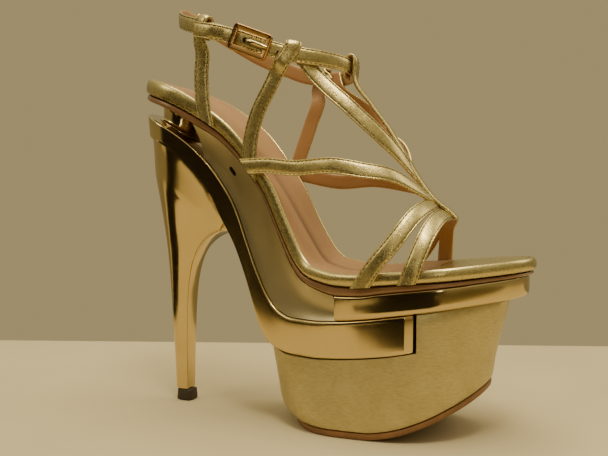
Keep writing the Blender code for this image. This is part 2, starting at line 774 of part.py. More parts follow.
def last_normal(x, turn):
    """Outward direction of the last."""
    turn = min(max(turn, 1.0), 179.0)
    if abs(turn - 90.0) < 1.0 and last_opening(x) > 0:
        turn = 88.0 if turn <= 90 else 92.0
    along = last_point(x + 0.5, turn) - last_point(x - 0.5, turn)
    around = last_point(x, turn + 0.5) - last_point(x, turn - 0.5)
    outward = along.cross(around).normalized()
    inside = Vector((x, 0.0, footbed_z(x)))
    return outward if outward.dot(last_point(x, turn) - inside) > 0 else -outward


def laid(routes, twist=0.0):
    """Points and directions of a strap laid on the last; a twist turns its face more to the side."""
    path = []
    for r in routes:
        aside = Vector((0.0, -twist * math.cos(math.radians(r.turn)), 0.0))
        normal = (last_normal(r.x, r.turn) + aside).normalized()
        path.append((last_point(r.x, r.turn) + normal * r.lift, normal))
    return path


def ankle_frame(angle):
    """Inner face of the ankle loop at an angle: its point, outward direction, and upward direction."""
    def point(a):
        turn = math.radians(a)
        x = ANKLE_X - ANKLE_LENGTH * math.cos(turn)
        return Vector((x, -ANKLE_WIDTH * math.sin(turn), ankle_z(a % 360)))

    turn = math.radians(angle)
    outward = Vector((-math.cos(turn) / ANKLE_LENGTH, -math.sin(turn) / ANKLE_WIDTH, 0.0)).normalized()
    along = (point(angle + 0.5) - point(angle - 0.5)).normalized()
    upward = along.cross(outward).normalized()
    if upward.z < 0:
        upward.negate()
    return point(angle), outward, upward


def loop_over(angle, lean_out=0.0, lean_in=0.0, tail=LOOP_TAIL):
    """Fold over the ankle strap: up its outer face, over its top edge and down its inner face."""
    path = []
    rise = STRAP_WIDTH / 2 + GAP
    shoulder = rise - LOOP_SHOULDER
    for height in (-LOOP_TAIL, 0.0, shoulder):
        point, outward, upward = ankle_frame(angle + lean_out * (height - rise) / STRAP_WIDTH)
        path.append((point + outward * (LAYER + LOOP_CLEAR_OUT) + upward * height, outward))
    point, outward, upward = ankle_frame(angle)
    centre = point + outward * (STRAP_THICKNESS / 2) + upward * shoulder
    radius = STRAP_THICKNESS / 2 + GAP + LOOP_CLEAR_OUT
    for bend in (45, 90, 135):
        turn = math.radians(bend)
        direction = outward * math.cos(turn) + upward * math.sin(turn)
        path.append((centre + direction * radius, direction))
    for height in (shoulder, 0.0, -tail):
        point, outward, upward = ankle_frame(angle - lean_in * (height - rise) / STRAP_WIDTH)
        path.append((point - outward * LOOP_CLEAR_IN + upward * height, -outward))
    return path


def hung_inside(hangs):
    """Start of a strap that hangs from the inner face of the ankle strap."""
    path = []
    for hang in hangs:
        point, outward, upward = ankle_frame(hang.angle)
        path.append((point - outward * (HANG_CLEAR + STRAP_THICKNESS) + upward * hang.height, outward))
    return path


def rim_lean(point, along, side):
    """Lengthwise lean of a strap's end, for each millimetre across, that makes it run level with the rim."""
    if abs(point.z - footbed_z(point.x)) > RIM_REACH:
        return 0.0
    edge = 0.0 if point.y < 0 else 180.0
    rim = last_point(point.x + 1.0, edge) - last_point(point.x - 1.0, edge)
    return rim.dot(along) / rim.dot(side)


def strap_rings(path, step=3.0):
    """Rings of a flat strap along a smooth curve through the path's points, with its ends cut to the rim."""
    rows = np.array([(*point, *normal) for point, normal in path])
    spans = np.linalg.norm(np.diff(rows[:, :3], axis=0), axis=1)
    ends = np.concatenate([[0.0], np.cumsum(spans)])
    slopes = np.gradient(rows, ends, axis=0)
    places = []
    for i, span in enumerate(spans):
        pieces = max(1, round(span / step))
        places += [(i, k / pieces) for k in range(pieces)]
    places.append((len(spans) - 1, 1.0))
    frames = []
    for i, t in places:
        h = spans[i]
        row = ((1 + 2 * t) * (1 - t) ** 2 * rows[i] + t * (1 - t) ** 2 * h * slopes[i]
               + t * t * (3 - 2 * t) * rows[i + 1] + t * t * (t - 1) * h * slopes[i + 1])
        ahead = ((6 * t * t - 6 * t) / h * (rows[i] - rows[i + 1])
                 + (3 * t * t - 4 * t + 1) * slopes[i] + (3 * t * t - 2 * t) * slopes[i + 1])
        along = Vector(ahead[:3]).normalized()
        normal = Vector(row[3:])
        normal = (normal - along * normal.dot(along)).normalized()
        frames.append((Vector(row[:3]), along, along.cross(normal), normal, ends[i] + t * h))
    first = rim_lean(*frames[0][:3])
    last = rim_lean(*frames[-1][:3])
    rings = []
    for point, along, side, normal, distance in frames:
        lean = first * max(1 - distance / MITRE_REACH, 0.0)
        lean += last * max(1 - (ends[-1] - distance) / MITRE_REACH, 0.0)
        across = (side + along * lean) * (STRAP_WIDTH / 2)
        rise = normal * STRAP_THICKNESS
        rings.append([point - across, point + across, point + across + rise, point - across + rise])
    return rings


def build_upper():
    """Toe, waist, instep and centre straps, joined into one piece where they cross, and the heel strap."""
    centre = laid(CENTRE_STRAP) + loop_over(CENTRE_LOOP)
    upper = skin("upper", strap_rings(centre), "gold_strap_leather")
    lateral_loop = loop_over(INSTEP_LOOP_LATERAL, LOOP_LEAN_OUT, LOOP_LEAN_IN, INSTEP_LOOP_TAIL)
    medial_loop = loop_over(INSTEP_LOOP_MEDIAL, -LOOP_LEAN_OUT, -LOOP_LEAN_IN, INSTEP_LOOP_TAIL)
    straps = {
        "toe_strap_rear": laid(TOE_STRAP_REAR),
        "toe_strap_front": laid(TOE_STRAP_FRONT),
        "waist_strap_lateral": laid(WAIST_STRAP_LATERAL),
        "waist_strap_medial": laid(WAIST_STRAP_MEDIAL),
        "instep_rise_lateral": laid(INSTEP_STRAP_RISE_LATERAL) + lateral_loop,
        "instep_rise_medial": laid(INSTEP_STRAP_RISE_MEDIAL) + medial_loop,
        "instep_fall_lateral": hung_inside(INSTEP_HANG_LATERAL) + laid(INSTEP_STRAP_FALL_LATERAL, FALL_TWIST),
        "instep_fall_medial": hung_inside(INSTEP_HANG_MEDIAL) + laid(INSTEP_STRAP_FALL_MEDIAL, FALL_TWIST),
    }
    for name, path in straps.items():
        boolean(upper, "UNION", make_cutter(skin(name, strap_rings(path), "gold_strap_leather")))
    heel_strap = laid(HEEL_STRAP) + loop_over(HEEL_LOOP, HEEL_LOOP_LEAN)
    skin("heel_strap", strap_rings(heel_strap), "gold_strap_leather")


def strap_offset(angle):
    """Height of the ankle strap's underside above the loop; the overlapping free end lies one layer up."""
    if angle > OVERLAP_START_ANGLE:
        return 0.0
    if angle > OVERLAP_END_ANGLE:
        share = (OVERLAP_START_ANGLE - angle) / (OVERLAP_START_ANGLE - OVERLAP_END_ANGLE)
        return LAYER * share * share * (3 - 2 * share)
    if angle > LOOP_RISE_START:
        return LAYER
    share = min((LOOP_RISE_START - angle) / (LOOP_RISE_START - LOOP_RISE_END), 1.0)
    return LAYER + LOOP_RISE * share * share * (3 - 2 * share)


def buckle_point(along, across, out):
    """Point given in the buckle's own directions, from the middle of the buckle on the ankle loop."""
    point, outward, upward = ankle_frame(BUCKLE_ANGLE)
    return point + upward.cross(outward) * along + upward * across + outward * out


def round_cutter(name, start, end, radius):
    """Cylinder between two points, used to pierce a strap."""
    bm = bmesh.new()
    direction = Vector(end) - Vector(start)
    bmesh.ops.create_cone(bm, cap_ends=True, segments=ROUND_SIDES, radius1=radius, radius2=radius,
                          depth=direction.length)
    turn = direction.to_track_quat("Z", "Y").to_matrix()
    bmesh.ops.rotate(bm, cent=(0, 0, 0), matrix=turn, verts=bm.verts)
    bmesh.ops.translate(bm, vec=(Vector(start) + Vector(end)) / 2, verts=bm.verts)
    return make_cutter(add_object(name, bm, "gold_strap_leather"))


def build_ankle_strap():
    """Strap from the buckle round the back, the inner side and the front, and through the buckle again."""
    path = []
    for travelled in np.linspace(0.0, 360.0 + STRAP_START_ANGLE - STRAP_TIP_ANGLE, ANKLE_STATIONS):
        angle = STRAP_START_ANGLE - travelled
        point, outward, upward = ankle_frame(angle)
        if travelled > 180.0:
            angle += 360.0
            drop = STRAP_TIP_DROP * max((LOOP_RISE_START - angle) / (LOOP_RISE_START - STRAP_TIP_ANGLE), 0.0)
            point = point + outward * strap_offset(angle) - upward * drop
        path.append((point, outward))
    strap = skin("ankle_strap", strap_rings(path, step=4.5), "gold_strap_leather")
    prong_hole = [buckle_point(end.along, 0.0, end.out) for end in PRONG_HOLE]
    boolean(strap, "DIFFERENCE", round_cutter("prong_hole", *prong_hole, PRONG_HOLE_RADIUS))
    for i, along in enumerate(SPARE_HOLES):
        ends = buckle_point(along, 0.0, HOLE_INSIDE), buckle_point(along, 0.0, HOLE_OUTSIDE)
        boolean(strap, "DIFFERENCE", round_cutter(f"spare_hole_{i + 1}", *ends, HOLE_RADIUS))


def tube(name, points, radius, finish):
    """Round wire along points, as a closed mesh."""
    curve = bpy.data.curves.new(name, "CURVE")
    curve.dimensions = "3D"
    curve.bevel_depth = radius * MM
    curve.bevel_resolution = 2
    curve.use_fill_caps = True
    spline = curve.splines.new("POLY")
    spline.points.add(len(points) - 1)
    for knot, point in zip(spline.points, points):
        knot.co = (*(Vector(point) * MM), 1.0)
    wire = bpy.data.objects.new(name + "_wire", curve)
    cutters.objects.link(wire)
    bpy.context.view_layer.update()
    mesh = bpy.data.meshes.new_from_object(wire.evaluated_get(bpy.context.evaluated_depsgraph_get()))
    bpy.data.objects.remove(wire)
    bm = bmesh.new()
    bm.from_mesh(mesh)
    bpy.data.meshes.remove(mesh)
    bmesh.ops.remove_doubles(bm, verts=bm.verts, dist=0.00001)
    bmesh.ops.scale(bm, vec=(1 / MM, 1 / MM, 1 / MM), verts=bm.verts)
    return add_object(name, bm, finish)


def rounded_rectangle(length, height, corner):
    """Points of a rectangle with round corners."""
    points = []
    for quarter in range(4):
        across = length / 2 - corner if quarter in (0, 3) else corner - length / 2
        up = height / 2 - corner if quarter in (0, 1) else corner - height / 2
        for step in range(4):
            turn = math.radians(90 * quarter + 30 * step)
            points.append((across + corner * math.cos(turn), up + corner * math.sin(turn)))
    return points


def buckle_block(name, length, height, corner, low, high):
    """Rounded block in the buckle's own directions."""
    outline = rounded_rectangle(length, height, corner)
    rings = [[buckle_point(a, u, out) for a, u in outline] for out in (low, high)]
    return skin(name, rings, "copper_gold")


def build_buckle():
    """Frame with a bar under the free end of the strap, and the prong that rests on the frame."""
    low = BUCKLE_TOP - BUCKLE_DEPTH
    frame = buckle_block("buckle_frame", BUCKLE_LENGTH, BUCKLE_HEIGHT, BUCKLE_CORNER, low, BUCKLE_TOP)
    inner = (BUCKLE_LENGTH - 2 * BUCKLE_BAR, BUCKLE_HEIGHT - 2 * BUCKLE_BAR)
    through = (low - BUCKLE_DEPTH, BUCKLE_TOP + BUCKLE_DEPTH)
    window = buckle_block("buckle_window", *inner, BUCKLE_WINDOW_CORNER, *through)
    boolean(frame, "DIFFERENCE", make_cutter(window))
    half = [buckle_point(BAR_ALONG, -bar.across, bar.out) for bar in reversed(BAR)]
    other_half = [buckle_point(BAR_ALONG, bar.across, bar.out) for bar in BAR[1:]]
    bar = tube("buckle_bar", half + other_half, BAR_RADIUS, "copper_gold")
    boolean(frame, "UNION", make_cutter(bar))
    tube("buckle_prong", [buckle_point(p.along, 0.0, p.out) for p in PRONG], PRONG_RADIUS, "copper_gold")


build_platform()
build_heel()
build_bridge()
build_spool()
build_arch_shell()
build_toe_rail()
build_sole_cover()
build_insole()
build_upper()
build_ankle_strap()
build_buckle()
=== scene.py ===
"""Dresses the platform sandal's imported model: smooth plated parts, stitched gold straps, and the studio."""

import json
import math

import bmesh
import bpy
import numpy as np
from mathutils import Matrix, Vector

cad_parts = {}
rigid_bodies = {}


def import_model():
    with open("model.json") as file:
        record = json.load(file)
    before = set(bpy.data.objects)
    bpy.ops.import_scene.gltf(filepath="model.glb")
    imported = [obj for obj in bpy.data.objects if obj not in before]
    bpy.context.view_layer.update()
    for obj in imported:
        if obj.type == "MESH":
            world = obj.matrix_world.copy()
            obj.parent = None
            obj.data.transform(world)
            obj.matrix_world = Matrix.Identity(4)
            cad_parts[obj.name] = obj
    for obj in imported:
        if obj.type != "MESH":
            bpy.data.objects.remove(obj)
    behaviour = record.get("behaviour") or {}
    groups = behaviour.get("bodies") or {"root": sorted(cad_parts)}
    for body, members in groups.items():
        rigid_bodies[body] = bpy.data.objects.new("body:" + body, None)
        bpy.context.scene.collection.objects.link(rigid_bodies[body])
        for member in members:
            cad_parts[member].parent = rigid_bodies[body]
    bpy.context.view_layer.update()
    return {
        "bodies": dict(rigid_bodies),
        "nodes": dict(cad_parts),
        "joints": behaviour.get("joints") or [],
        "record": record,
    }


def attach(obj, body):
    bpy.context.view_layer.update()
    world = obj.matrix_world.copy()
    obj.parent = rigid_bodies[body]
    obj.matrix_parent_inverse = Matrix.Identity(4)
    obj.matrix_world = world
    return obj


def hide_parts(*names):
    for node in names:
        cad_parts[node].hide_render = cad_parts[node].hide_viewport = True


for leftover in list(bpy.data.objects):
    bpy.data.objects.remove(leftover)
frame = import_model()

# Outsole: a thin brown leather sheet cemented under the platform block, flat below the ball and curling up to
# the toe. Its cut edge is sanded round and waxed.
MM = 0.001
# The tables count x in millimetres from a point this far in front of the middle of the heel tip.
TABLE_START = 3.6
GAP = 0.3
GLUE_LINE = 0.1
WELD = 0.002


def smooth_line(rows, column):
    """Smooth curve through one column of a table of rows that start with x, without overshoot."""
    xs = np.array([row[0] for row in rows], float)
    ys = np.array([row[column] for row in rows], float)
    step = np.diff(xs)
    rise = np.diff(ys) / step
    both = rise[:-1] * rise[1:]
    inner = np.where(both > 0, 2 * both / np.where(both > 0, rise[:-1] + rise[1:], 1.0), 0.0)
    slope = np.concatenate([rise[:1], inner, rise[-1:]])

    def at(x):
        x = min(max(x, xs[0]), xs[-1])
        i = min(max(int(np.searchsorted(xs, x)) - 1, 0), len(xs) - 2)
        t = (x - xs[i]) / step[i]
        start = (1 + 2 * t) * (1 - t) ** 2 * ys[i] + t * (1 - t) ** 2 * step[i] * slope[i]
        end = t * t * (3 - 2 * t) * ys[i + 1] + t * t * (t - 1) * step[i] * slope[i + 1]
        return float(start + end)

    return at


def round_end(distance, reach):
    """Share of the full width at a distance in from a rounded end."""
    if reach == 0:
        return 1.0
    fullness = 2.15
    free = 1.0 - min(max(distance / reach, 0.0), 1.0)
    return (1.0 - free ** fullness) ** (1.0 / fullness)


def bent_grid(along, around, place):
    """Closed bmesh in metres from a flat grid, bent by place(step along, step around) in millimetres."""
    bm = bmesh.new()
    bmesh.ops.create_grid(bm, x_segments=along, y_segments=around, size=0.5)
    flat = bm.loops.layers.uv.new("strip")
    for face in bm.faces:
        for corner in face.loops:
            corner[flat].uv = (corner.vert.co.x + 0.5, corner.vert.co.y + 0.5)
    for vert in bm.verts:
        i = round((vert.co.x + 0.5) * along)
        j = round((vert.co.y + 0.5) * around)
        x, y, z = place(i, j)
        vert.co = ((x + TABLE_START) * MM, y * MM, z * MM)
    bmesh.ops.remove_doubles(bm, verts=bm.verts, dist=WELD * MM)
    bmesh.ops.dissolve_degenerate(bm, edges=bm.edges, dist=WELD * MM / 2)
    bmesh.ops.holes_fill(bm, edges=bm.edges, sides=0)
    bmesh.ops.recalc_face_normals(bm, faces=bm.faces)
    return bm


def add_piece(name, bm, materials, smooth_angle=40.0, levels=0):
    """Object at the origin from a bmesh in metres, riding on the shoe."""
    mesh = bpy.data.meshes.new(name)
    bm.to_mesh(mesh)
    bm.free()
    mesh.shade_smooth()
    mesh.set_sharp_from_angle(angle=math.radians(smooth_angle))
    for material in materials:
        mesh.materials.append(material)
    piece = bpy.data.objects.new(name, mesh)
    bpy.context.scene.collection.objects.link(piece)
    if levels:
        soft = piece.modifiers.new("soften", "SUBSURF")
        soft.levels = levels
        soft.render_levels = levels
    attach(piece, "root")
    return piece


def slab(outline, rows, stations):
    """Bmesh of a slab; rows of (inset, spread, place) go from the underside's middle to the top's."""
    rear_end, front_end, rear_round, front_round, half, middle = outline

    def place(i, j):
        inset, spread, put = rows[j]
        turn = 2 * math.pi * i / stations
        rear = rear_end + (inset if rear_round else 0.0)
        front = front_end - (inset if front_round else 0.0)
        x = rear + (front - rear) * (0.5 - 0.5 * math.cos(turn))
        width = (half(x) - inset) * round_end(x - rear, rear_round) * round_end(front - x, front_round)
        side = -1.0 if i <= stations / 2 else 1.0
        return put(x, middle(x) + side * width * spread)

    return bent_grid(stations, len(rows) - 1, place)


def level(height, lift):
    """Places a point at a lift over a height that depends on x."""
    return lambda x, y: (x, y, height(x) + lift)


def make_node(tree, kind, inputs=None, **settings):
    """Shader node whose inputs are linked to a socket or set to a value."""
    made = tree.nodes.new(kind)
    for key, value in settings.items():
        setattr(made, key, value)
    for key, value in (inputs or {}).items():
        if isinstance(value, bpy.types.NodeSocket):
            tree.links.new(value, made.inputs[key])
        else:
            made.inputs[key].default_value = value
    return made


def new_finish(name, metallic=0.0, coat=0.0, coat_roughness=0.1, sheen=0.0):
    """Material with its Principled shader and the object's own coordinates."""
    made = bpy.data.materials.new(name)
    made.use_nodes = True
    tree = made.node_tree
    shader = tree.nodes["Principled BSDF"]
    shader.inputs["Metallic"].default_value = metallic
    shader.inputs["Coat Weight"].default_value = coat
    shader.inputs["Coat Roughness"].default_value = coat_roughness
    shader.inputs["Sheen Weight"].default_value = sheen
    place = make_node(tree, "ShaderNodeTexCoord").outputs["Object"]
    return made, tree, shader, place


def grain(tree, place, size_mm, stretch=(1.0, 1.0, 1.0), detail=4.0, roughness=0.55):
    """Noise with features of a size in millimetres, stretched along the axes."""
    scaled = make_node(tree, "ShaderNodeMapping", {"Vector": place, "Scale": [1.0 / s for s in stretch]})
    inputs = {"Vector": scaled.outputs["Vector"], "Scale": 1.0 / (size_mm * MM), "Detail": detail,
              "Roughness": roughness}
    return make_node(tree, "ShaderNodeTexNoise", inputs).outputs["Fac"]


def blend_of(tree, factor, stops):
    """Colour ramp over a factor; stops are (position, colour)."""
    made = make_node(tree, "ShaderNodeValToRGB", {"Fac": factor})
    ramp = made.color_ramp
    while len(ramp.elements) < len(stops):
        ramp.elements.new(0.5)
    for element, (position, colour) in zip(ramp.elements, stops):
        element.position = position
        element.color = (*colour, 1.0)
    return made.outputs["Color"]


def range_of(tree, factor, low, high):
    """Number that follows a factor from 0..1 to low..high."""
    made = make_node(tree, "ShaderNodeMapRange", {"Value": factor, "To Min": low, "To Max": high})
    return made.outputs["Result"]


def bump_of(tree, height, depth_mm, strength=1.0, under=None):
    """Bump from a height of 0..1, optionally on top of another bump."""
    inputs = {"Height": height, "Strength": strength, "Distance": depth_mm * MM}
    if under:
        inputs["Normal"] = under
    return make_node(tree, "ShaderNodeBump", inputs).outputs["Normal"]


def set_looks(tree, shader, colour, roughness, relief=None):
    """Links a shader's colour and roughness, and its bump where it has one."""
    tree.links.new(colour, shader.inputs["Base Color"])
    tree.links.new(roughness, shader.inputs["Roughness"])
    if relief:
        tree.links.new(relief, shader.inputs["Normal"])


# x, height of the outsole's underside
tread_rows = [
    (50.0, 0.0), (112.0, 0.0), (124.0, 1.9), (138.0, 6.7), (152.0, 13.8), (161.0, 19.4), (168.0, 25.0),
    (176.0, 32.0),
]
tread_z = smooth_line(tread_rows, 1)
# x, half width of the block's head, half width of its foot
block_rows = [
    (46.0, 27.0, 28.0), (70.0, 29.5, 33.6), (85.0, 31.6, 35.4), (104.0, 34.2, 35.6), (124.0, 35.0, 34.8),
    (148.0, 33.8, 32.6), (168.0, 30.6, 29.4), (178.0, 29.0, 28.0),
]
SEAT_REAR = -25.0
TOE_END = 187.0
# x, z of the insole's underside, half width, drift to the inner side, thickness of the sole layer below it
footbed_rows = [
    (SEAT_REAR, 175.6, 28.5, 0.0, 2.6), (-18.0, 173.8, 28.5, 0.0, 5.4), (-12.0, 172.0, 28.5, 0.0, 5.8),
    (0.0, 167.7, 28.5, 0.0, 5.8), (10.0, 162.7, 28.5, 0.0, 5.8), (20.0, 156.3, 28.0, 0.0, 4.8),
    (30.0, 148.9, 27.0, -0.2, 3.6), (40.0, 138.2, 25.6, -0.6, 2.4), (48.0, 127.5, 24.8, -0.9, 1.7),
    (55.0, 117.3, 24.6, -1.1, 1.5), (62.0, 102.8, 25.2, -1.2, 1.6), (68.0, 91.3, 26.4, -1.1, 1.9),
    (74.0, 82.0, 28.2, -1.0, 2.5), (80.0, 76.8, 30.4, -0.9, 3.2), (88.0, 74.5, 33.4, -0.7, 4.1),
    (98.0, 73.1, 36.4, -0.5, 4.6), (108.0, 73.1, 38.2, -0.2, 4.2), (120.0, 74.4, 38.9, 0.1, 3.6),
    (148.0, 77.2, 37.6, 1.2, 2.6), (170.0, 79.8, 33.6, 2.8, 2.1), (TOE_END, 81.8, 31.0, 4.0, 1.8),
]
footbed_drift = smooth_line(footbed_rows, 3)
REAR_ROUND = 30.0
TOE_ROUND = 45.0
SOLE_SHEET = 3.6
SOLE_REAR = 68.4
FOOT_FRONT = 166.9
SOLE_STATIONS = 160
foot_half = smooth_line(block_rows, 2)
sole_outline = (SOLE_REAR, FOOT_FRONT, REAR_ROUND, TOE_ROUND, foot_half, footbed_drift)

brown_leather, tree, shader, place = new_finish("waxed_brown_sole_leather", coat=0.15, coat_roughness=0.35)
mottle = grain(tree, place, 9.0)
fibre = grain(tree, place, 0.7, stretch=(3.0, 3.0, 0.6), detail=6.0)
tan = blend_of(tree, mottle, [(0.3, (0.16, 0.072, 0.026)), (0.7, (0.26, 0.125, 0.046))])
set_looks(tree, shader, tan, range_of(tree, fibre, 0.38, 0.62), bump_of(tree, fibre, 0.12))
# inset, spread across the sole, rise above the tread
outsole_section = [
    (1.6, 0.0, 0.0), (1.6, 0.5, 0.0), (1.6, 1.0, 0.0), (0.7, 1.0, 0.3), (0.4, 1.0, 1.0), (0.3, 1.0, 2.2),
    (0.4, 1.0, SOLE_SHEET - 0.4), (0.9, 1.0, SOLE_SHEET), (2.0, 0.5, SOLE_SHEET), (2.0, 0.0, SOLE_SHEET),
]
outsole_rows = [(inset, spread, level(tread_z, lift)) for inset, spread, lift in outsole_section]
outsole_mesh = slab(sole_outline, outsole_rows, SOLE_STATIONS)
outsole = add_piece("waxed_outsole", outsole_mesh, [brown_leather], levels=1)
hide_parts("outsole")

# Platform: a block covered in one piece of satin gold leather, pulled tight round the toe and turned in under
# the block. The outsole is glued over its edge, and a step on top takes the plated bridge.
head_half = smooth_line(block_rows, 1)
# x, height of the block's top
ledge_rows = [
    (40.0, 55.0), (84.0, 54.8), (96.0, 55.6), (110.0, 57.2), (124.0, 59.4), (137.0, 61.5), (170.0, 67.1),
    (190.0, 70.0),
]
ledge_z = smooth_line(ledge_rows, 1)
BRIDGE_REAR = -25.0
BRIDGE_FRONT = 136.5
# x, upper and lower edge of the bridge's side, half its width
bridge_rows = [
    (BRIDGE_REAR, 162.6, 149.9, 20.6), (-12.0, 156.2, 145.2, 20.6), (0.0, 149.4, 138.1, 20.6),
    (10.0, 142.3, 129.5, 20.6), (20.0, 133.0, 118.8, 20.6), (28.0, 123.1, 104.2, 20.6),
    (36.0, 110.8, 90.8, 20.6), (44.0, 91.0, 71.5, 21.0), (51.0, 74.7, 51.6, 21.8), (57.0, 64.2, 42.0, 23.0),
    (64.0, 57.6, 38.4, 25.0), (72.0, 55.0, 36.8, 27.2), (84.0, 54.8, 36.6, 30.6), (96.0, 55.6, 37.4, 33.2),
    (110.0, 57.2, 38.9, 34.8), (124.0, 59.4, 41.0, 35.2), (BRIDGE_FRONT, 61.4, 43.6, 34.8),
]
bridge_top = smooth_line(bridge_rows, 1)
bridge_under = smooth_line(bridge_rows, 2)


def cut_with(bm, cutters):
    """Bmesh after cutting closed bmeshes out of it."""
    made = []
    for solid in [bm, *cutters]:
        mesh = bpy.data.meshes.new("blank")
        solid.to_mesh(mesh)
        solid.free()
        made.append(bpy.data.objects.new("blank", mesh))
        bpy.context.scene.collection.objects.link(made[-1])
    body = made[0]
    for tool in made[1:]:
        step = body.modifiers.new("cut", "BOOLEAN")
        step.operation = "DIFFERENCE"
        step.object = tool
    bpy.context.view_layer.update()
    result = bmesh.new()
    result.from_object(body, bpy.context.evaluated_depsgraph_get())
    for thing in made:
        bpy.data.objects.remove(thing)
    return result


def cells(tree, place, size_mm, feature="F1"):
    """Distances in a pattern of cells of a size in millimetres."""
    inputs = {"Vector": place, "Scale": 1.0 / (size_mm * MM)}
    return make_node(tree, "ShaderNodeTexVoronoi", inputs, feature=feature).outputs["Distance"]


def mix_of(tree, factor, first, second, blend_type="MIX"):
    """Colour between two colours, or their product."""
    inputs = {"Factor": factor, "A": first, "B": second}
    return make_node(tree, "ShaderNodeMix", inputs, data_type="RGBA", blend_type=blend_type).outputs["Result"]


satin_gold, tree, shader, place = new_finish("satin_gold_leather", metallic=0.85)
cloud = grain(tree, place, 14.0, detail=3.0)
brushed = grain(tree, place, 0.45, stretch=(6.0, 6.0, 1.0), detail=5.0)
pebble = cells(tree, place, 0.8)
gold = blend_of(tree, cloud, [(0.25, (0.53, 0.45, 0.22)), (0.75, (0.64, 0.55, 0.29))])
streak = blend_of(tree, brushed, [(0.35, (0.78, 0.78, 0.78)), (0.65, (1.0, 1.0, 1.0))])
streaked = mix_of(tree, 1.0, gold, streak, blend_type="MULTIPLY")
fine = bump_of(tree, pebble, 0.05, strength=0.4)
relief = bump_of(tree, brushed, 0.07, strength=0.7, under=fine)
set_looks(tree, shader, streaked, range_of(tree, brushed, 0.28, 0.5), relief)


def block_foot(x):
    """Height of the block's underside, just above the outsole."""
    return tread_z(x) + SOLE_SHEET + GLUE_LINE


# rise above the outsole, start at the rear, inset, share of the way from the foot's outline to the head's
foot_rows = [
    (0.0, 67.6, 0.9, 0.0), (0.3, 67.0, 0.25, 0.0), (1.2, 65.6, 0.0, 0.02), (2.4, 63.9, 0.0, 0.05),
    (4.0, 62.2, 0.0, 0.08), (6.5, 60.3, 0.0, 0.13), (10.0, 59.0, 0.0, 0.2),
]
# inset, spread across the block, lift over the ledge
head_rows = [(0.3, 1.0, -0.2), (0.9, 1.0, 0.0), (0.9, 0.0, 0.0)]
FLANK_END = -1.0
HEAD_REAR = 50.0
HEAD_FRONT = 174.6
FLANK_STEPS = 8
PLATFORM_STATIONS = 200


def block_point(turn, side, rear, inset, share, spread):
    """x and y of the block's outline at a turn round it; share goes from the foot's outline to the head's."""
    rear += inset
    front = FOOT_FRONT + share * (HEAD_FRONT - FOOT_FRONT) - inset
    x = rear + (front - rear) * (0.5 - 0.5 * math.cos(turn))
    half = foot_half(x) + share * (head_half(x) - foot_half(x)) - inset
    half *= round_end(x - rear, REAR_ROUND) * round_end(front - x, TOE_ROUND)
    return x, footbed_drift(x) + side * half * spread


def between(low, high, share):
    """Point at a share of the way between two points."""
    return [a + share * (b - a) for a, b in zip(low, high)]


def platform_place(i, j):
    """Point of the covered block: underside, rounded foot, flank up to the head, and the top."""
    turn = 2 * math.pi * i / PLATFORM_STATIONS
    side = -1.0 if i <= PLATFORM_STATIONS / 2 else 1.0
    if j <= len(foot_rows):
        rise, rear, inset, share = foot_rows[max(j - 1, 0)]
        x, y = block_point(turn, side, rear, inset, share, 1.0 if j else 0.0)
        return x, y, block_foot(x) + rise
    climb = (j - len(foot_rows)) / FLANK_STEPS
    if climb <= 1.0:
        rise, rear, inset, share = foot_rows[-1]
        x, y = block_point(turn, side, rear, inset, share, 1.0)
        low = (x, y, block_foot(x) + rise)
        x, y = block_point(turn, side, HEAD_REAR, 0.0, 1.0, 1.0)
        return between(low, (x, y, ledge_z(x) + FLANK_END), climb)
    inset, spread, lift = head_rows[j - len(foot_rows) - FLANK_STEPS - 1]
    x, y = block_point(turn, side, HEAD_REAR, inset, 1.0, spread)
    return x, y, ledge_z(x) + lift


NOTCH_REAR = 40.0
NOTCH_FRONT = 137.0
NOTCH_HALF = 60.0
NOTCH_TOP = 90.0
NOTCH_STEPS = 60


def notch_place(i, j):
    """Point of the tool that takes out the bridge's seat."""
    x = NOTCH_REAR + (NOTCH_FRONT - NOTCH_REAR) * i / NOTCH_STEPS
    side = -NOTCH_HALF if j in (0, 1, 4) else NOTCH_HALF
    return x, side, NOTCH_TOP if j in (1, 2) else bridge_under(x) - GAP


block = bent_grid(PLATFORM_STATIONS, len(foot_rows) + FLANK_STEPS + len(head_rows), platform_place)
notch = bent_grid(NOTCH_STEPS, 4, notch_place)
platform = add_piece("covered_platform", cut_with(block, [notch]), [satin_gold], smooth_angle=32.0)
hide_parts("platform")

# Heel: a moulded stiletto, plated mirror gold, round at the back with a thinner web towards the arch. It is
# screwed up into the underside of the bridge.
HEEL_BACK = -24.3
HEEL_WEB = 31.0
# back x, back z, breast x, breast z, half width of the round back, half width at the breast
heel_rows = [
    (-9.6, 6.7, -0.6, 6.7, 4.5, 4.3), (-10.6, 25.0, -0.6, 25.0, 5.1, 4.8),
    (-12.0, 45.0, -0.4, 45.0, 5.7, 5.3), (-13.4, 64.0, 0.4, 62.0, 6.2, 5.7),
    (-15.2, 82.0, 3.0, 77.5, 7.2, 6.3), (-17.6, 99.0, 7.4, 87.0, 8.9, 7.2),
    (-20.3, 115.0, 13.8, 93.0, 11.4, 8.6), (-23.0, 131.0, 22.5, 96.8, 14.4, 10.6),
    (HEEL_BACK, bridge_under(HEEL_BACK) - GAP, HEEL_WEB, bridge_under(HEEL_WEB) - GAP, 17.0, 12.8),
]
heel_lines = [smooth_line([(k, *row) for k, row in enumerate(heel_rows)], column) for column in range(1, 7)]
HEEL_NOSE_STEPS = 14
HEEL_LEVELS = 64
NOSE_SHAPE = 1.65
NOSE_LIMIT = 0.58
BREAST_EDGE = 0.96
BREAST_ROUND = 0.12
heel_side = [(math.pi / 2 * k / HEEL_NOSE_STEPS, None) for k in range(HEEL_NOSE_STEPS + 1)]
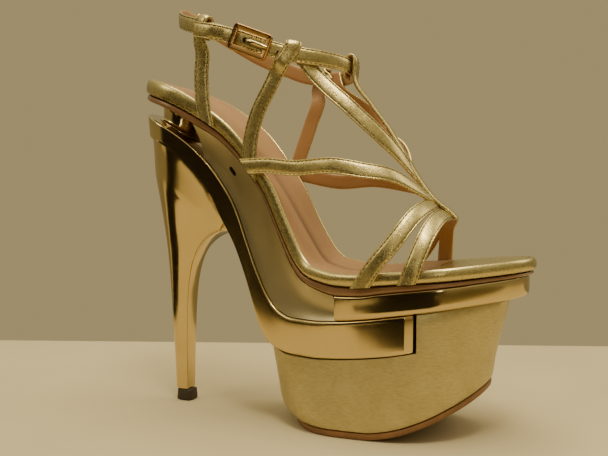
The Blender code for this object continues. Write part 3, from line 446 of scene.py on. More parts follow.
heel_side += [(None, share) for share in (0.15, 0.35, 0.55, 0.75, 0.9, 0.96, 0.985, 1.0)]
heel_count = 2 * len(heel_side)


def heel_place(i, j):
    """Point of the heel's ring i, from the back round the outer side and back on the inner side."""
    step = i * (len(heel_rows) - 1) / HEEL_LEVELS
    back_x, back_z, breast_x, breast_z, half, web = [line(step) for line in heel_lines]
    length = math.hypot(breast_x - back_x, breast_z - back_z)
    nose = min(NOSE_SHAPE * half / length, NOSE_LIMIT)
    j %= heel_count
    index = j if j < len(heel_side) else heel_count - 1 - j
    angle, share = heel_side[index]
    if share is None:
        along = nose * (1 - math.cos(angle))
        width = half * math.sin(angle)
    else:
        along = nose + share * (1.0 - nose)
        width = half + share * (web - half)
        width *= 1.0 - BREAST_ROUND * (max(share - BREAST_EDGE, 0.0) / (1.0 - BREAST_EDGE)) ** 2
    side = -1.0 if j < len(heel_side) else 1.0
    x = back_x + along * (breast_x - back_x)
    z = back_z + along * (breast_z - back_z)
    seat = max(step - (len(heel_rows) - 2), 0.0)
    return x, side * width, z + seat * (bridge_under(x) - GAP - z)


def plated(name, tint, dull, roughness):
    """Mirror plating: a bright metal with faint clouding, fine polishing lines and handling marks."""
    made, tree, shader, place = new_finish(name, metallic=1.0)
    cloud = grain(tree, place, 22.0, detail=2.0)
    polish = grain(tree, place, 0.5, stretch=(14.0, 14.0, 1.0), detail=3.0)
    smear = grain(tree, place, 7.0, stretch=(2.0, 1.0, 1.0), detail=5.0, roughness=0.7)
    colour = blend_of(tree, cloud, [(0.3, dull), (0.7, tint)])
    gloss = range_of(tree, smear, roughness * 0.9, roughness * 1.15)
    set_looks(tree, shader, colour, gloss, bump_of(tree, polish, 0.004, strength=0.35))
    return made


mirror_gold = plated("mirror_gold_plating", (0.68, 0.54, 0.27), (0.62, 0.48, 0.23), 0.13)
heel_mesh = bent_grid(HEEL_LEVELS, heel_count, heel_place)
heel = add_piece("plated_heel", heel_mesh, [mirror_gold], smooth_angle=50.0)
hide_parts("heel")

# Heel tip: a small top piece of dark rubber under the heel. It is pinned into the heel's foot and worn a
# little at its edge.
TIP_BACK = -9.0
TIP_FRONT = 1.8
TIP_HALF = 4.9
TIP_HEIGHT = 6.4
TIP_REAR_ROUND = 5.4
TIP_FRONT_ROUND = 1.6
TIP_STATIONS = 72
tip_outline = (TIP_BACK, TIP_FRONT, TIP_REAR_ROUND, TIP_FRONT_ROUND, lambda x: TIP_HALF, lambda x: 0.0)
# inset, spread across the tip, height
tip_section = [
    (0.5, 0.0, 0.0), (0.5, 1.0, 0.0), (0.1, 1.0, 0.4), (0.0, 1.0, 1.2), (0.15, 1.0, 3.4),
    (0.3, 1.0, TIP_HEIGHT - 0.6), (0.6, 1.0, TIP_HEIGHT), (0.6, 0.0, TIP_HEIGHT),
]
tip_rows = [(inset, spread, level(lambda x: 0.0, height)) for inset, spread, height in tip_section]
# The heel tip's dark rubber, also painted into the arch shell's screw slot as its shade.
rubber_and_slot_shade, tree, shader, place = new_finish("worn_rubber_and_slot_shade")
speckle = grain(tree, place, 0.6, detail=6.0)
brown = blend_of(tree, speckle, [(0.35, (0.022, 0.014, 0.009)), (0.75, (0.06, 0.04, 0.024))])
set_looks(tree, shader, brown, range_of(tree, speckle, 0.5, 0.75), bump_of(tree, speckle, 0.08))
heel_tip = add_piece("rubber_heel_tip", slab(tip_outline, tip_rows, TIP_STATIONS), [rubber_and_slot_shade], levels=1)
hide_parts("heel_tip")

# Bridge: a curved slab plated mirror gold, which carries the heel at one end and lies in the platform's step
# at the other. Its edges are broken by polishing.
bridge_half = smooth_line(bridge_rows, 3)
BRIDGE_REAR_ROUND = 18.0
BRIDGE_FRONT_ROUND = 1.2
BRIDGE_STATIONS = 260
REAR_LEAN = 1.4
FACET_FROM = 131.6
FACET_SLOPE = 0.42


def bridge_side(x):
    """Half width of the bridge, with a facet at its front end."""
    return bridge_half(x) - FACET_SLOPE * max(x - FACET_FROM, 0.0)


def leaning(edge, lift):
    """Places a point at a lift over an edge of the bridge, whose rear end leans in towards the heel."""
    def put(x, y):
        drop = (bridge_top(x) - edge(x) - lift) / (bridge_top(x) - bridge_under(x))
        moved = x + REAR_LEAN * drop * max(x / BRIDGE_REAR, 0.0)
        return moved, y, edge(moved) + lift
    return put


bridge_ends = (BRIDGE_REAR, BRIDGE_FRONT, BRIDGE_REAR_ROUND, BRIDGE_FRONT_ROUND)
# inset, spread across the bridge, edge, lift over it
bridge_section = [
    (3.0, 0.0, bridge_under, 0.0), (3.0, 1.0, bridge_under, 0.0), (0.9, 1.0, bridge_under, 0.0),
    (0.25, 1.0, bridge_under, 0.25), (0.0, 1.0, bridge_under, 0.9), (0.0, 1.0, bridge_under, 3.5),
    (0.0, 1.0, bridge_top, -3.5), (0.0, 1.0, bridge_top, -0.9), (0.25, 1.0, bridge_top, -0.25),
    (0.9, 1.0, bridge_top, 0.0), (3.0, 1.0, bridge_top, 0.0), (3.0, 0.0, bridge_top, 0.0),
]
rows = [(inset, spread, leaning(edge, lift)) for inset, spread, edge, lift in bridge_section]
bridge_mesh = slab((*bridge_ends, bridge_side, footbed_drift), rows, BRIDGE_STATIONS)
bridge = add_piece("plated_bridge", bridge_mesh, [mirror_gold], smooth_angle=60.0, levels=1)
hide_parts("bridge")

# Spool: a turned pillar, plated like the bridge, that holds the heel seat above the bridge. Its foot and head
# flare out to meet them.
SPOOL_X = -6.8
SPOOL_SIDES = 64
# share of the height, radius
spool_profile = [
    (0.0, 12.4), (0.03, 12.4), (0.07, 12.0), (0.11, 11.4), (0.16, 11.0), (0.24, 10.8), (0.4, 10.7),
    (0.6, 10.7), (0.78, 10.8), (0.9, 11.0), (1.0, 11.3),
]
footbed_z = smooth_line(footbed_rows, 1)
footbed_half = smooth_line(footbed_rows, 2)
cover_thickness = smooth_line(footbed_rows, 4)


def upward(height, x):
    """Upward direction square to a side-view line: its parts along x and z."""
    slope = height(x + 0.5) - height(x - 0.5)
    length = math.hypot(slope, 1.0)
    return -slope / length, 1.0 / length


def cover_low(x):
    """Rise of the sole layer's underside above the insole's underside."""
    return -GAP - cover_thickness(x)


def under_cover(x):
    """Height just under the sole layer."""
    return footbed_z(x) + (cover_low(x) - GLUE_LINE) / upward(footbed_z, x)[1]


def spool_place(i, j):
    """Point of the spool: turned, with its ends cut to the bridge below and the sole layer above."""
    share, radius = spool_profile[j]
    turn = 2 * math.pi * i / SPOOL_SIDES
    x = SPOOL_X + radius * math.cos(turn)
    low = bridge_top(x) + GAP
    return x, radius * math.sin(turn), low + share * (under_cover(x) - low)


spool_mesh = bent_grid(SPOOL_SIDES, len(spool_profile) - 1, spool_place)
spool = add_piece("plated_spool", spool_mesh, [mirror_gold], smooth_angle=50.0)
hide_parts("spool")

# Arch shell: a coved filler between bridge and sole under the arch, plated a duller gold. A small screw, sunk
# in a slot on its outer side, ties it to the sole.
SHELL_REAR = 17.0
SHELL_FRONT = 96.4
SHELL_COVE = 2.0
SHELL_STATIONS = 110
SHELL_STEPS = 14
SHELL_LOW_INSET = 1.8
SHELL_HIGH_INSET = 1.2
SHELL_RING = 2 * (SHELL_STEPS + 1)
COVER_INSET = 1.5


def shell_wall(x, share):
    """Point on the shell's wall, with its half width as y; share goes from the bridge up to the sole."""
    along, up = upward(bridge_top, x)
    low = (x + GAP * along, bridge_half(x) - SHELL_LOW_INSET, bridge_top(x) + GAP * up)
    along, up = upward(footbed_z, x)
    depth = cover_low(x) - GLUE_LINE
    half = footbed_half(x) - COVER_INSET - SHELL_HIGH_INSET
    wall_x, half, z = between(low, (x + depth * along, half, footbed_z(x) + depth * up), share)
    return wall_x, half - SHELL_COVE * 4 * share * (1 - share), z


def shell_side(x, share, side):
    """Point on the shell's outer side, -1, or inner side, 1."""
    wall_x, half, z = shell_wall(x, share)
    return wall_x, footbed_drift(x) + side * half, z


def shell_place(i, j):
    """Point of the shell's ring: up the outer wall, over, and down the inner wall."""
    x = SHELL_REAR + (SHELL_FRONT - SHELL_REAR) * i / SHELL_STATIONS
    j %= SHELL_RING
    if j <= SHELL_STEPS:
        return shell_side(x, j / SHELL_STEPS, -1.0)
    return shell_side(x, (SHELL_RING - 1 - j) / SHELL_STEPS, 1.0)


shell_gold = plated("dull_gold_plating", (0.5, 0.43, 0.26), (0.46, 0.39, 0.23), 0.36)
SCREW_X = 36.4
SCREW_SHARE = 0.62
SCREW_SLOT = (-1.6, -0.8, 0.0, 0.8, 1.6)
SCREW_DEPTH = 2.0
SCREW_HOLE = 1.2
SCREW_HEAD = 0.8
SCREW_TOP = 1.1
SCREW_FOOT = 1.9
PUNCH_SIDES = 24


def punch(start, end, radius, slot):
    """Closed bmesh of a round bar between two points; its faces take a material slot."""
    bm = bmesh.new()
    direction = end - start
    turn = direction.to_track_quat("Z", "Y").to_matrix().to_4x4()
    centre = (start + end) / 2
    centre.x += TABLE_START
    shape = Matrix.Translation(centre * MM) @ turn
    bmesh.ops.create_cone(bm, cap_ends=True, segments=PUNCH_SIDES, radius1=radius * MM, radius2=radius * MM,
                          depth=direction.length * MM, matrix=shape)
    for face in bm.faces:
        face.material_index = slot
    return bm


def screw_side(along, up):
    """Point on the shell's outer side, away from the screw by millimetres along it and a share up it."""
    return Vector(shell_side(SCREW_X + along, SCREW_SHARE + up, -1.0))


screw_at = screw_side(0.0, 0.0)
screw_along = screw_side(0.5, 0.0) - screw_side(-0.5, 0.0)
screw_out = screw_along.cross(screw_side(0.0, 0.02) - screw_at).normalized()
screw_along.normalize()
slot_middles = [screw_at + screw_along * shift for shift in SCREW_SLOT]
slot_depth = screw_out * SCREW_DEPTH
# Painted shade: the slot's walls take the dark rubber, standing in for the shade inside the recess.
screw_holes = [punch(middle - slot_depth, middle + slot_depth, SCREW_HOLE, 1) for middle in slot_middles]
shell_cut = cut_with(bent_grid(SHELL_STATIONS, SHELL_RING, shell_place), screw_holes)
arch_shell = add_piece("plated_arch_shell", shell_cut, [shell_gold, rubber_and_slot_shade], smooth_angle=50.0)
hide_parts("arch_shell")
screw_seat = slot_middles[1]
screw_mesh = punch(screw_seat - screw_out * SCREW_FOOT, screw_seat - screw_out * SCREW_TOP, SCREW_HEAD, 0)
screw = add_piece("shell_screw", screw_mesh, [mirror_gold])

# Toe rail: the plated edge of the forefoot, from the arch round the toe. It is glued between the platform and
# the sole, and overhangs the platform all round.
RAIL_REAR = 96.8
RAIL_FRONT = 183.6
RAIL_INSET = 2.4
RAIL_STATIONS = 240


def rail_half(x):
    """Half width of the rail."""
    return footbed_half(x) - RAIL_INSET


rail_outline = (RAIL_REAR, RAIL_FRONT, 0.0, TOE_ROUND - RAIL_INSET, rail_half, footbed_drift)
# inset, spread across the rail, edge, lift over it
rail_section = [
    (2.6, 0.0, ledge_z, 0.3), (2.6, 1.0, ledge_z, 0.3), (1.4, 1.0, ledge_z, 0.35), (0.7, 1.0, ledge_z, 0.7),
    (0.25, 1.0, ledge_z, 1.4), (0.06, 1.0, ledge_z, 2.4), (0.0, 1.0, ledge_z, 3.4),
    (0.0, 1.0, under_cover, -1.4), (0.06, 1.0, under_cover, -0.6), (0.3, 1.0, under_cover, -0.15),
    (0.9, 1.0, under_cover, 0.0), (0.9, 0.0, under_cover, 0.0),
]
rows = [(inset, spread, level(edge, lift)) for inset, spread, edge, lift in rail_section]
rail_mesh = slab(rail_outline, rows, RAIL_STATIONS)
toe_rail = add_piece("plated_toe_rail", rail_mesh, [mirror_gold], smooth_angle=50.0)
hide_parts("toe_rail")

# Sole layer: a thin brown-pink board glued under the insole. It is set in a little, so that a dark line shows
# between them.
SEAT_ROUND = 27.0
insole_outline = (SEAT_REAR, TOE_END, SEAT_ROUND, TOE_ROUND, footbed_half, footbed_drift)
# x, rise of the lower side of the insole's bound edge, which reaches down over the sole layer
rim_rows = [
    (SEAT_REAR, -1.4), (-12.0, -2.4), (0.0, -2.4), (10.0, -2.0), (20.0, -1.2), (30.0, -0.6), (42.0, 0.0),
    (TOE_END, 0.0),
]
rim_low = smooth_line(rim_rows, 1)


def on_footbed(rise, lift):
    """Places a point at a lift over a rise above the insole's underside, square to the footbed."""
    def put(x, y):
        along, up = upward(footbed_z, x)
        height = rise(x) + lift
        return x + height * along, y, footbed_z(x) + height * up
    return put


# inset, spread across the layer, rise, lift over it
sole_section = [
    (3.0, 0.0, cover_low, 0.0), (3.0, 1.0, cover_low, 0.0), (0.9, 1.0, cover_low, 0.2),
    (0.1, 1.0, cover_low, 0.7), (0.0, 1.0, lambda x: 0.6 * cover_low(x) + 0.4 * rim_low(x), 0.0),
    (0.2, 1.0, rim_low, -0.6), (0.8, 1.0, rim_low, -0.1), (3.0, 0.0, rim_low, -0.1),
]
sole_rows = [(COVER_INSET + inset, spread, on_footbed(rise, lift))
             for inset, spread, rise, lift in sole_section]
SOLE_LAYER_STATIONS = 240
tan_sole, tree, shader, place = new_finish(
    "brown_pink_sole_board", metallic=0.35, coat=0.6, coat_roughness=0.18)
cloud = grain(tree, place, 18.0, detail=3.0)
fleck = grain(tree, place, 0.9, detail=5.0)
pink = blend_of(tree, cloud, [(0.3, (0.2, 0.1, 0.045)), (0.7, (0.27, 0.145, 0.07))])
set_looks(tree, shader, pink, range_of(tree, fleck, 0.35, 0.5), bump_of(tree, fleck, 0.03))
sole_mesh = slab(insole_outline, sole_rows, SOLE_LAYER_STATIONS)
sole_layer = add_piece("sole_board", sole_mesh, [tan_sole], levels=1)
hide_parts("sole_cover")

# Insole: a stiff board whose edge is bound in crinkled gold leather. The leather is rolled over the top round
# the lining, and reaches down over the sole layer at the heel.
INSOLE_THICKNESS = 6.2
RIM_WIDTH = 3.0
FOOTBED_STATIONS = 260


def insole_under(x):
    """Rise of the insole's underside, from which rises are counted."""
    return 0.0


# inset, spread across the insole, rise, lift over it
insole_section = [
    (2.4, 0.0, rim_low, 0.0), (2.4, 1.0, rim_low, 0.0), (1.2, 1.0, rim_low, 0.15), (0.35, 1.0, rim_low, 1.0),
    (0.0, 1.0, lambda x: 0.7 * rim_low(x), 2.4), (0.05, 1.0, insole_under, 4.0),
    (0.4, 1.0, insole_under, 5.4), (1.0, 1.0, insole_under, 6.1), (1.8, 1.0, insole_under, INSOLE_THICKNESS),
    (RIM_WIDTH - 0.4, 1.0, insole_under, 6.0), (RIM_WIDTH, 1.0, insole_under, 5.2),
    (RIM_WIDTH + 0.3, 1.0, insole_under, 4.7), (RIM_WIDTH + 0.3, 0.0, insole_under, 4.7),
]
insole_rows = [(inset, spread, on_footbed(rise, lift)) for inset, spread, rise, lift in insole_section]


def foil_leather(name, tint, dull, crease_mm, depth_mm):
    """Leather under gold foil: a fine crackle over soft wrinkles, a little darker in the cracks."""
    made, tree, shader, place = new_finish(name, metallic=0.92)
    edges = cells(tree, place, crease_mm, feature="DISTANCE_TO_EDGE")
    wrinkle = grain(tree, place, 2.6, detail=6.0, roughness=0.65)
    crack = make_node(tree, "ShaderNodeMapRange", {"Value": edges, "From Max": 0.12}).outputs["Result"]
    colour = blend_of(tree, wrinkle, [(0.3, dull), (0.65, tint)])
    in_crack = (*[0.72 * c for c in dull], 1.0)
    soft = bump_of(tree, wrinkle, depth_mm * 1.6, strength=0.45)
    relief = bump_of(tree, crack, depth_mm, strength=0.4, under=soft)
    set_looks(tree, shader, mix_of(tree, crack, in_crack, colour), range_of(tree, wrinkle, 0.2, 0.36), relief)
    return made


rim_gold = foil_leather("rolled_rim_gold", (0.66, 0.56, 0.26), (0.6, 0.5, 0.22), 1.1, 0.014)
insole_mesh = slab(insole_outline, insole_rows, FOOTBED_STATIONS)
insole = add_piece("bound_insole", insole_mesh, [rim_gold], levels=1)
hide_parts("insole")

# Sock: the nude leather lining glued onto the insole, with a soft lengthwise crease down the waist of the
# arch, painted darker along the crease as shade. Under the toes it is faced in the gold leather of the rim.
SOCK_EDGE = RIM_WIDTH + 0.1
SOCK_LOW = 4.8
CREASE_FROM = 46.0
CREASE_TO = 106.0
CREASE_WIDTH = 3.4
CREASE_DEPTH = 1.0
SOCK_FRONT = 141.0
SOCK_STEPS = 24
crease_rows = [
    (CREASE_FROM, -16.0), (60.0, -10.0), (68.0, -4.0), (77.0, -1.0), (88.0, -4.0), (CREASE_TO, -11.0),
]
crease_line = smooth_line(crease_rows, 1)


def crease_at(x, y):
    """How far a point of the sock, seen from above, lies in the crease: 0 to 1."""
    share = min(max((x - CREASE_FROM) / (CREASE_TO - CREASE_FROM), 0.0), 1.0)
    return math.sin(math.pi * share) ** 0.7 * math.exp(-((y - crease_line(x)) / CREASE_WIDTH) ** 2)


def creased(x, y):
    """Point of the sock's face, sunk along the crease."""
    along, up = upward(footbed_z, x)
    height = INSOLE_THICKNESS - GLUE_LINE - CREASE_DEPTH * crease_at(x + INSOLE_THICKNESS * along, y)
    return x + height * along, y, footbed_z(x) + height * up


# inset, spread across the sock, rise
sock_section = [
    (0.0, 0.0, SOCK_LOW), (0.0, 1.0, SOCK_LOW), (0.0, 1.0, INSOLE_THICKNESS - 0.6),
    (0.5, 1.0, INSOLE_THICKNESS - 0.2),
]
sock_rows = [(SOCK_EDGE + inset, spread, on_footbed(insole_under, rise))
             for inset, spread, rise in sock_section]
sock_rows += [(SOCK_EDGE + 1.0, 1.0 - k / SOCK_STEPS, creased) for k in range(SOCK_STEPS + 1)]
nude_leather, tree, shader, place = new_finish(
    "nude_lining_leather", coat=0.08, coat_roughness=0.4, sheen=0.1)
cloud = grain(tree, place, 26.0)
pore = cells(tree, place, 0.7)
soft = grain(tree, place, 5.0, stretch=(2.2, 1.0, 1.0))
nude = blend_of(tree, cloud, [(0.25, (0.33, 0.165, 0.06)), (0.75, (0.4, 0.212, 0.082))])
# Painted shade: the nude colour is mixed towards dark brown along the crease, where the fold lies in shade.
fold = make_node(tree, "ShaderNodeAttribute", attribute_name="crease").outputs["Fac"]
nude_with_crease_shade = mix_of(tree, fold, nude, (0.15, 0.066, 0.02, 1.0))
pores = bump_of(tree, pore, 0.03, strength=0.6)
relief = bump_of(tree, soft, 0.15, strength=0.5, under=pores)
set_looks(tree, shader, nude_with_crease_shade, range_of(tree, soft, 0.42, 0.58), relief)
sock_mesh = slab(insole_outline, sock_rows, FOOTBED_STATIONS)
front_at = (SOCK_FRONT + TABLE_START) * MM
bmesh.ops.bisect_plane(sock_mesh, geom=[*sock_mesh.verts, *sock_mesh.edges, *sock_mesh.faces],
                       plane_co=(front_at, 0.0, 0.0), plane_no=(1.0, 0.0, 0.0))
# How far each point lies in the crease, kept on the mesh to paint the crease's shade.
crease_shade_layer = sock_mesh.verts.layers.float.new("crease")
for vert in sock_mesh.verts:
    vert[crease_shade_layer] = crease_at(vert.co.x / MM - TABLE_START, vert.co.y / MM)
for face in sock_mesh.faces:
    face.material_index = 1 if face.calc_center_median().x > front_at else 0
sock = add_piece("nude_sock_lining", sock_mesh, [nude_leather, rim_gold])
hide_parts("sock")

# Toe straps: two narrow straps over the toes, gold foil leather outside and nude leather inside, stitched
# along both edges. Their ends are lasted under the rim of the insole.
# x, height of the ridge that shapes the straps, drop of the inner side, half width of the opening
last_rows = [
    (-5.0, 211.5, 0.0, 0.0), (20.0, 201.8, 8.0, 26.9), (45.0, 194.4, 6.5, 31.0), (62.0, 188.6, 5.6, 28.8),
    (74.0, 186.2, 5.0, 24.3), (88.0, 183.4, 3.5, 14.0), (94.0, 178.6, 0.0, 7.5), (103.5, 162.8, 0.0, 0.0),
    (115.0, 147.6, 0.0, 0.0), (123.5, 132.2, 0.0, 0.0), (132.5, 117.0, 0.0, 0.0), (143.5, 107.6, 0.0, 0.0),
    (150.0, 103.0, 0.0, 0.0), (187.0, 92.0, 0.0, 0.0),
]
last_crown = smooth_line(last_rows, 1)
last_dip = smooth_line(last_rows, 2)
last_opening = smooth_line(last_rows, 3)
LAST_FULLNESS = 2.2
STRAP_CLEAR = 0.5
STRAP_THICKNESS = 1.8


def last_point(x, turn):
    """Point on the foot's form: turn 0 is the outer edge of the footbed, 90 the ridge, 180 the inner edge."""
    side = -1.0 if turn <= 90 else 1.0
    angle = math.radians(turn)
    power = 2.0 / LAST_FULLNESS
    out = abs(math.cos(angle)) ** power
    rise = math.sin(angle) ** power
    base = footbed_half(x) * round_end(x - SEAT_REAR, SEAT_ROUND) + STRAP_CLEAR
    half = last_opening(x) + (base - last_opening(x)) * out
    crown = last_crown(x) - (last_dip(x) if side > 0 else 0.0)
    low = footbed_z(x)
    return Vector((x, footbed_drift(x) * (1 - rise) + side * half, low + (crown - low) * rise))


def last_normal(x, turn):
    """Outward direction of the foot's form."""
    turn = min(max(turn, 1.0), 179.0)
    if abs(turn - 90.0) < 1.0 and last_opening(x) > 0:
        turn = 88.0 if turn <= 90 else 92.0
    along = last_point(x + 0.5, turn) - last_point(x - 0.5, turn)
    around = last_point(x, turn + 0.5) - last_point(x, turn - 0.5)
    outward = along.cross(around).normalized()
    inside = Vector((x, 0.0, footbed_z(x)))
    return outward if outward.dot(last_point(x, turn) - inside) > 0 else -outward


def laid(route, twist=0.0):
    """Underside points and outward directions of a strap; rows are x, turn and lift, twist tips it aside."""
    path = []
    for x, turn, lift in route:
        aside = Vector((0.0, -twist * math.cos(math.radians(turn)), 0.0))
        normal = (last_normal(x, turn) + aside).normalized()
        path.append((last_point(x, turn) + normal * lift, normal))
    return path


def strap_frames(path, step):
    """Points, lengthwise, sideways and outward directions, and distances along a smooth strap."""
    rows = np.array([(*point, *normal) for point, normal in path])
    spans = np.linalg.norm(np.diff(rows[:, :3], axis=0), axis=1)
    ends = np.concatenate([[0.0], np.cumsum(spans)])
    slopes = np.gradient(rows, ends, axis=0)
    frames = []
    for distance in np.linspace(0.0, ends[-1], max(2, round(ends[-1] / step)) + 1):
        i = min(int(np.searchsorted(ends, distance, side="right")) - 1, len(spans) - 1)
        h = spans[i]
        t = (distance - ends[i]) / h
        row = ((1 + 2 * t) * (1 - t) ** 2 * rows[i] + t * (1 - t) ** 2 * h * slopes[i]
               + t * t * (3 - 2 * t) * rows[i + 1] + t * t * (t - 1) * h * slopes[i + 1])
        ahead = ((6 * t * t - 6 * t) / h * (rows[i] - rows[i + 1])
                 + (3 * t * t - 4 * t + 1) * slopes[i] + (3 * t * t - 2 * t) * slopes[i + 1])
        lengthwise = Vector(ahead[:3]).normalized()
        outward = Vector(row[3:])
        outward = (outward - lengthwise * outward.dot(lengthwise)).normalized()
        frames.append((Vector(row[:3]), lengthwise, lengthwise.cross(outward), outward, distance))
    return frames


STITCH_ACROSS = 3.1
STITCH_FLOOR = 1.22
# across and up, from the middle of the lining over one edge to the middle of the face
strap_half_section = [
    (0.0, 0.0), (2.0, 0.0), (3.5, 0.05), (3.85, 0.3), (4.0, 0.75), (3.95, 1.15), (3.75, 1.45), (3.45, 1.5),
    (STITCH_ACROSS, STITCH_FLOOR), (2.75, 1.5), (2.2, 1.68), (1.2, 1.78), (0.0, STRAP_THICKNESS),
]
LINING_POINTS = 4
strap_section = strap_half_section[:-1] + [(-a, u) for a, u in reversed(strap_half_section[1:])]
section_count = len(strap_section)
MITRE_REACH = 14.0
RIM_REACH = 4.0
LEAST_CROSSING = 0.2


def rim_slant(frame):
    """How far a strap's end leans along the strap, for each millimetre across, to run level with the rim."""
    point, lengthwise, sideways, _, _ = frame
    edge = 0.0 if point.y < 0 else 180.0
    rim = last_point(point.x + 1.0, edge) - last_point(point.x - 1.0, edge)
    if abs(point.z - footbed_z(point.x)) > RIM_REACH or abs(rim.dot(sideways)) < LEAST_CROSSING:
        return 0.0
    return rim.dot(lengthwise) / rim.dot(sideways)


def mitred_frames(path, step):
    """Strap frames with how far each leans lengthwise for a millimetre across; ends on the rim follow it."""
    frames = strap_frames(path, step)
    length = frames[-1][4]
    first = rim_slant(frames[0])
    last = rim_slant(frames[-1])
    leant = []
    for frame in frames:
        near = max(1.0 - frame[4] / MITRE_REACH, 0.0)
        far = max(1.0 - (length - frame[4]) / MITRE_REACH, 0.0)
        leant.append((*frame, first * near + last * far))
    return leant


def strap_mesh(path, step=1.0):
    """Bmesh of a stitched strap; the faces of its lining take the second material."""
    frames = mitred_frames(path, step)

    def put(i, j):
        point, lengthwise, sideways, outward, _, lean = frames[i]
        across, up = strap_section[j % section_count]
        return point + sideways * across + lengthwise * (lean * across) + outward * up

    bm = bent_grid(len(frames) - 1, section_count, put)
    flat = bm.loops.layers.uv.active
    length = frames[-1][4]
    for face in bm.faces:
        rows = [corner[flat].uv.y * section_count for corner in face.loops]
        middle = sum(rows) / len(rows)
        inside = middle < LINING_POINTS - 0.6 or middle > section_count - LINING_POINTS + 0.6
        face.material_index = 1 if inside and len(face.verts) == 4 else 0
        for corner in face.loops:
            j = round(corner[flat].uv.y * section_count) % section_count
            corner[flat].uv = (corner[flat].uv.x * length * MM, strap_section[j][0] * MM)
    return bm


STITCH_PITCH = 2.4
STITCH_LENGTH = 1.7
THREAD_RADIUS = 0.27
THREAD_RISE = 0.06
BARE_END = 3.0


def stitch_mesh(paths):
    """Bmesh of the sewing threads in the grooves along both edges of straps."""
    bm = bmesh.new()
    size = Matrix.Diagonal((STITCH_LENGTH / 2, THREAD_RADIUS, THREAD_RADIUS, 1.0))
    for path in paths:
        frames = mitred_frames(path, STITCH_PITCH)
        for point, lengthwise, sideways, outward, distance, lean in frames:
            if distance < BARE_END or distance > frames[-1][4] - BARE_END:
                continue
            turn = Matrix((lengthwise, sideways, outward)).transposed().to_4x4()
            middle = point + outward * (STITCH_FLOOR + THREAD_RISE)
            for across in (-STITCH_ACROSS, STITCH_ACROSS):
                centre = middle + sideways * across + lengthwise * (lean * across)
                centre.x += TABLE_START
                shape = Matrix.Translation(centre * MM) @ turn @ size @ Matrix.Scale(MM, 4)
                bmesh.ops.create_icosphere(bm, subdivisions=1, radius=1.0, matrix=shape)
    return bm


strap_gold = foil_leather("crackled_strap_gold", (0.7, 0.59, 0.27), (0.54, 0.44, 0.19), 0.75, 0.05)
# The thread's dark olive, also painted into the ankle strap's holes as their shade.
thread_and_hole_shade, tree, shader, place = new_finish("dark_olive_thread_and_hole_shade")
twist = grain(tree, place, 0.3, detail=2.0)
olive = blend_of(tree, twist, [(0.3, (0.03, 0.02, 0.007)), (0.7, (0.07, 0.05, 0.018))])
set_looks(tree, shader, olive, range_of(tree, twist, 0.5, 0.7))
upper_paths = {}
upper_paths["toe_strap_rear"] = laid([
    (111.3, 0.0, 0.0), (117.5, 6.0, 0.0), (125.5, 18.0, 0.0), (133.0, 46.0, 0.0), (137.5, 90.0, 0.0),
    (133.5, 134.0, 0.0), (127.5, 162.0, 0.0), (121.0, 174.0, 0.0), (116.0, 180.0, 0.0),
])
upper_paths["toe_strap_front"] = laid([
    (133.2, 0.0, 0.0), (136.5, 12.0, 0.0), (140.0, 34.0, 0.0), (142.4, 60.0, 0.0), (144.0, 90.0, 0.0),
    (142.0, 118.0, 0.0), (138.0, 140.0, 0.0), (136.0, 162.0, 0.0), (135.0, 180.0, 0.0),
])

# Instep straps: one on each side rises from the insole's edge and folds over the ankle strap, and another
# hangs from the fold and runs forward to the vamp, where all straps are sewn together.
ANKLE_X = 44.0
ANKLE_LENGTH = 48.4
ANKLE_WIDTH = 31.0
# angle from the back over the outer side, height of the loop's middle
ankle_rows = [
    (0.0, 216.4), (14.0, 214.2), (30.0, 210.2), (60.0, 203.2), (90.0, 194.8), (110.0, 188.8),
    (125.0, 186.3), (150.0, 184.4), (180.0, 182.6), (210.0, 180.6), (235.0, 181.4), (255.0, 184.4),
    (270.0, 189.0), (290.0, 196.4), (305.0, 203.0), (320.0, 209.0), (340.0, 214.6), (360.0, 216.4),
]
ankle_z = smooth_line(ankle_rows, 1)
STRAP_WIDTH = 8.0
LAYER = STRAP_THICKNESS + GAP


def ankle_point(angle):
    """Point on the inner face of the ankle loop."""
    turn = math.radians(angle)
    x = ANKLE_X - ANKLE_LENGTH * math.cos(turn)
    return Vector((x, -ANKLE_WIDTH * math.sin(turn), ankle_z(angle % 360)))


def ankle_frame(angle):
    """Point on the inner face of the ankle loop, with its outward and upward directions."""
    turn = math.radians(angle)
    outward = Vector((-math.cos(turn) / ANKLE_LENGTH, -math.sin(turn) / ANKLE_WIDTH, 0.0)).normalized()
    along = (ankle_point(angle + 0.5) - ankle_point(angle - 0.5)).normalized()
    up = along.cross(outward).normalized()
    return ankle_point(angle), outward, up if up.z > 0 else -up


LOOP_TAIL = 5.6
LOOP_TAIL_SHORT = 2.0
LOOP_CLEAR_OUT = 0.15
LOOP_CLEAR_IN = 0.9
HANG_CLEAR = 0.7


def loop_over(angle, lean_out=0.0, lean_in=0.0, tail=LOOP_TAIL):
    """Fold over the ankle strap: up its outer face, over its top edge and down its inner face."""
    path = []
    rise = STRAP_WIDTH / 2 + GAP
    shoulder = rise - GAP
    for height in (-LOOP_TAIL, 0.0, shoulder):
        point, outward, up = ankle_frame(angle + lean_out * (height - rise) / STRAP_WIDTH)
        path.append((point + outward * (LAYER + LOOP_CLEAR_OUT) + up * height, outward))
    point, outward, up = ankle_frame(angle)
    centre = point + outward * (STRAP_THICKNESS / 2) + up * shoulder
    radius = STRAP_THICKNESS / 2 + GAP + LOOP_CLEAR_OUT
    for bend in (45, 90, 135):
        turn = math.radians(bend)
        direction = outward * math.cos(turn) + up * math.sin(turn)
        path.append((centre + direction * radius, direction))
    for height in (shoulder, 0.0, -tail):
        point, outward, up = ankle_frame(angle - lean_in * (height - rise) / STRAP_WIDTH)
        path.append((point - outward * LOOP_CLEAR_IN + up * height, -outward))
    return path


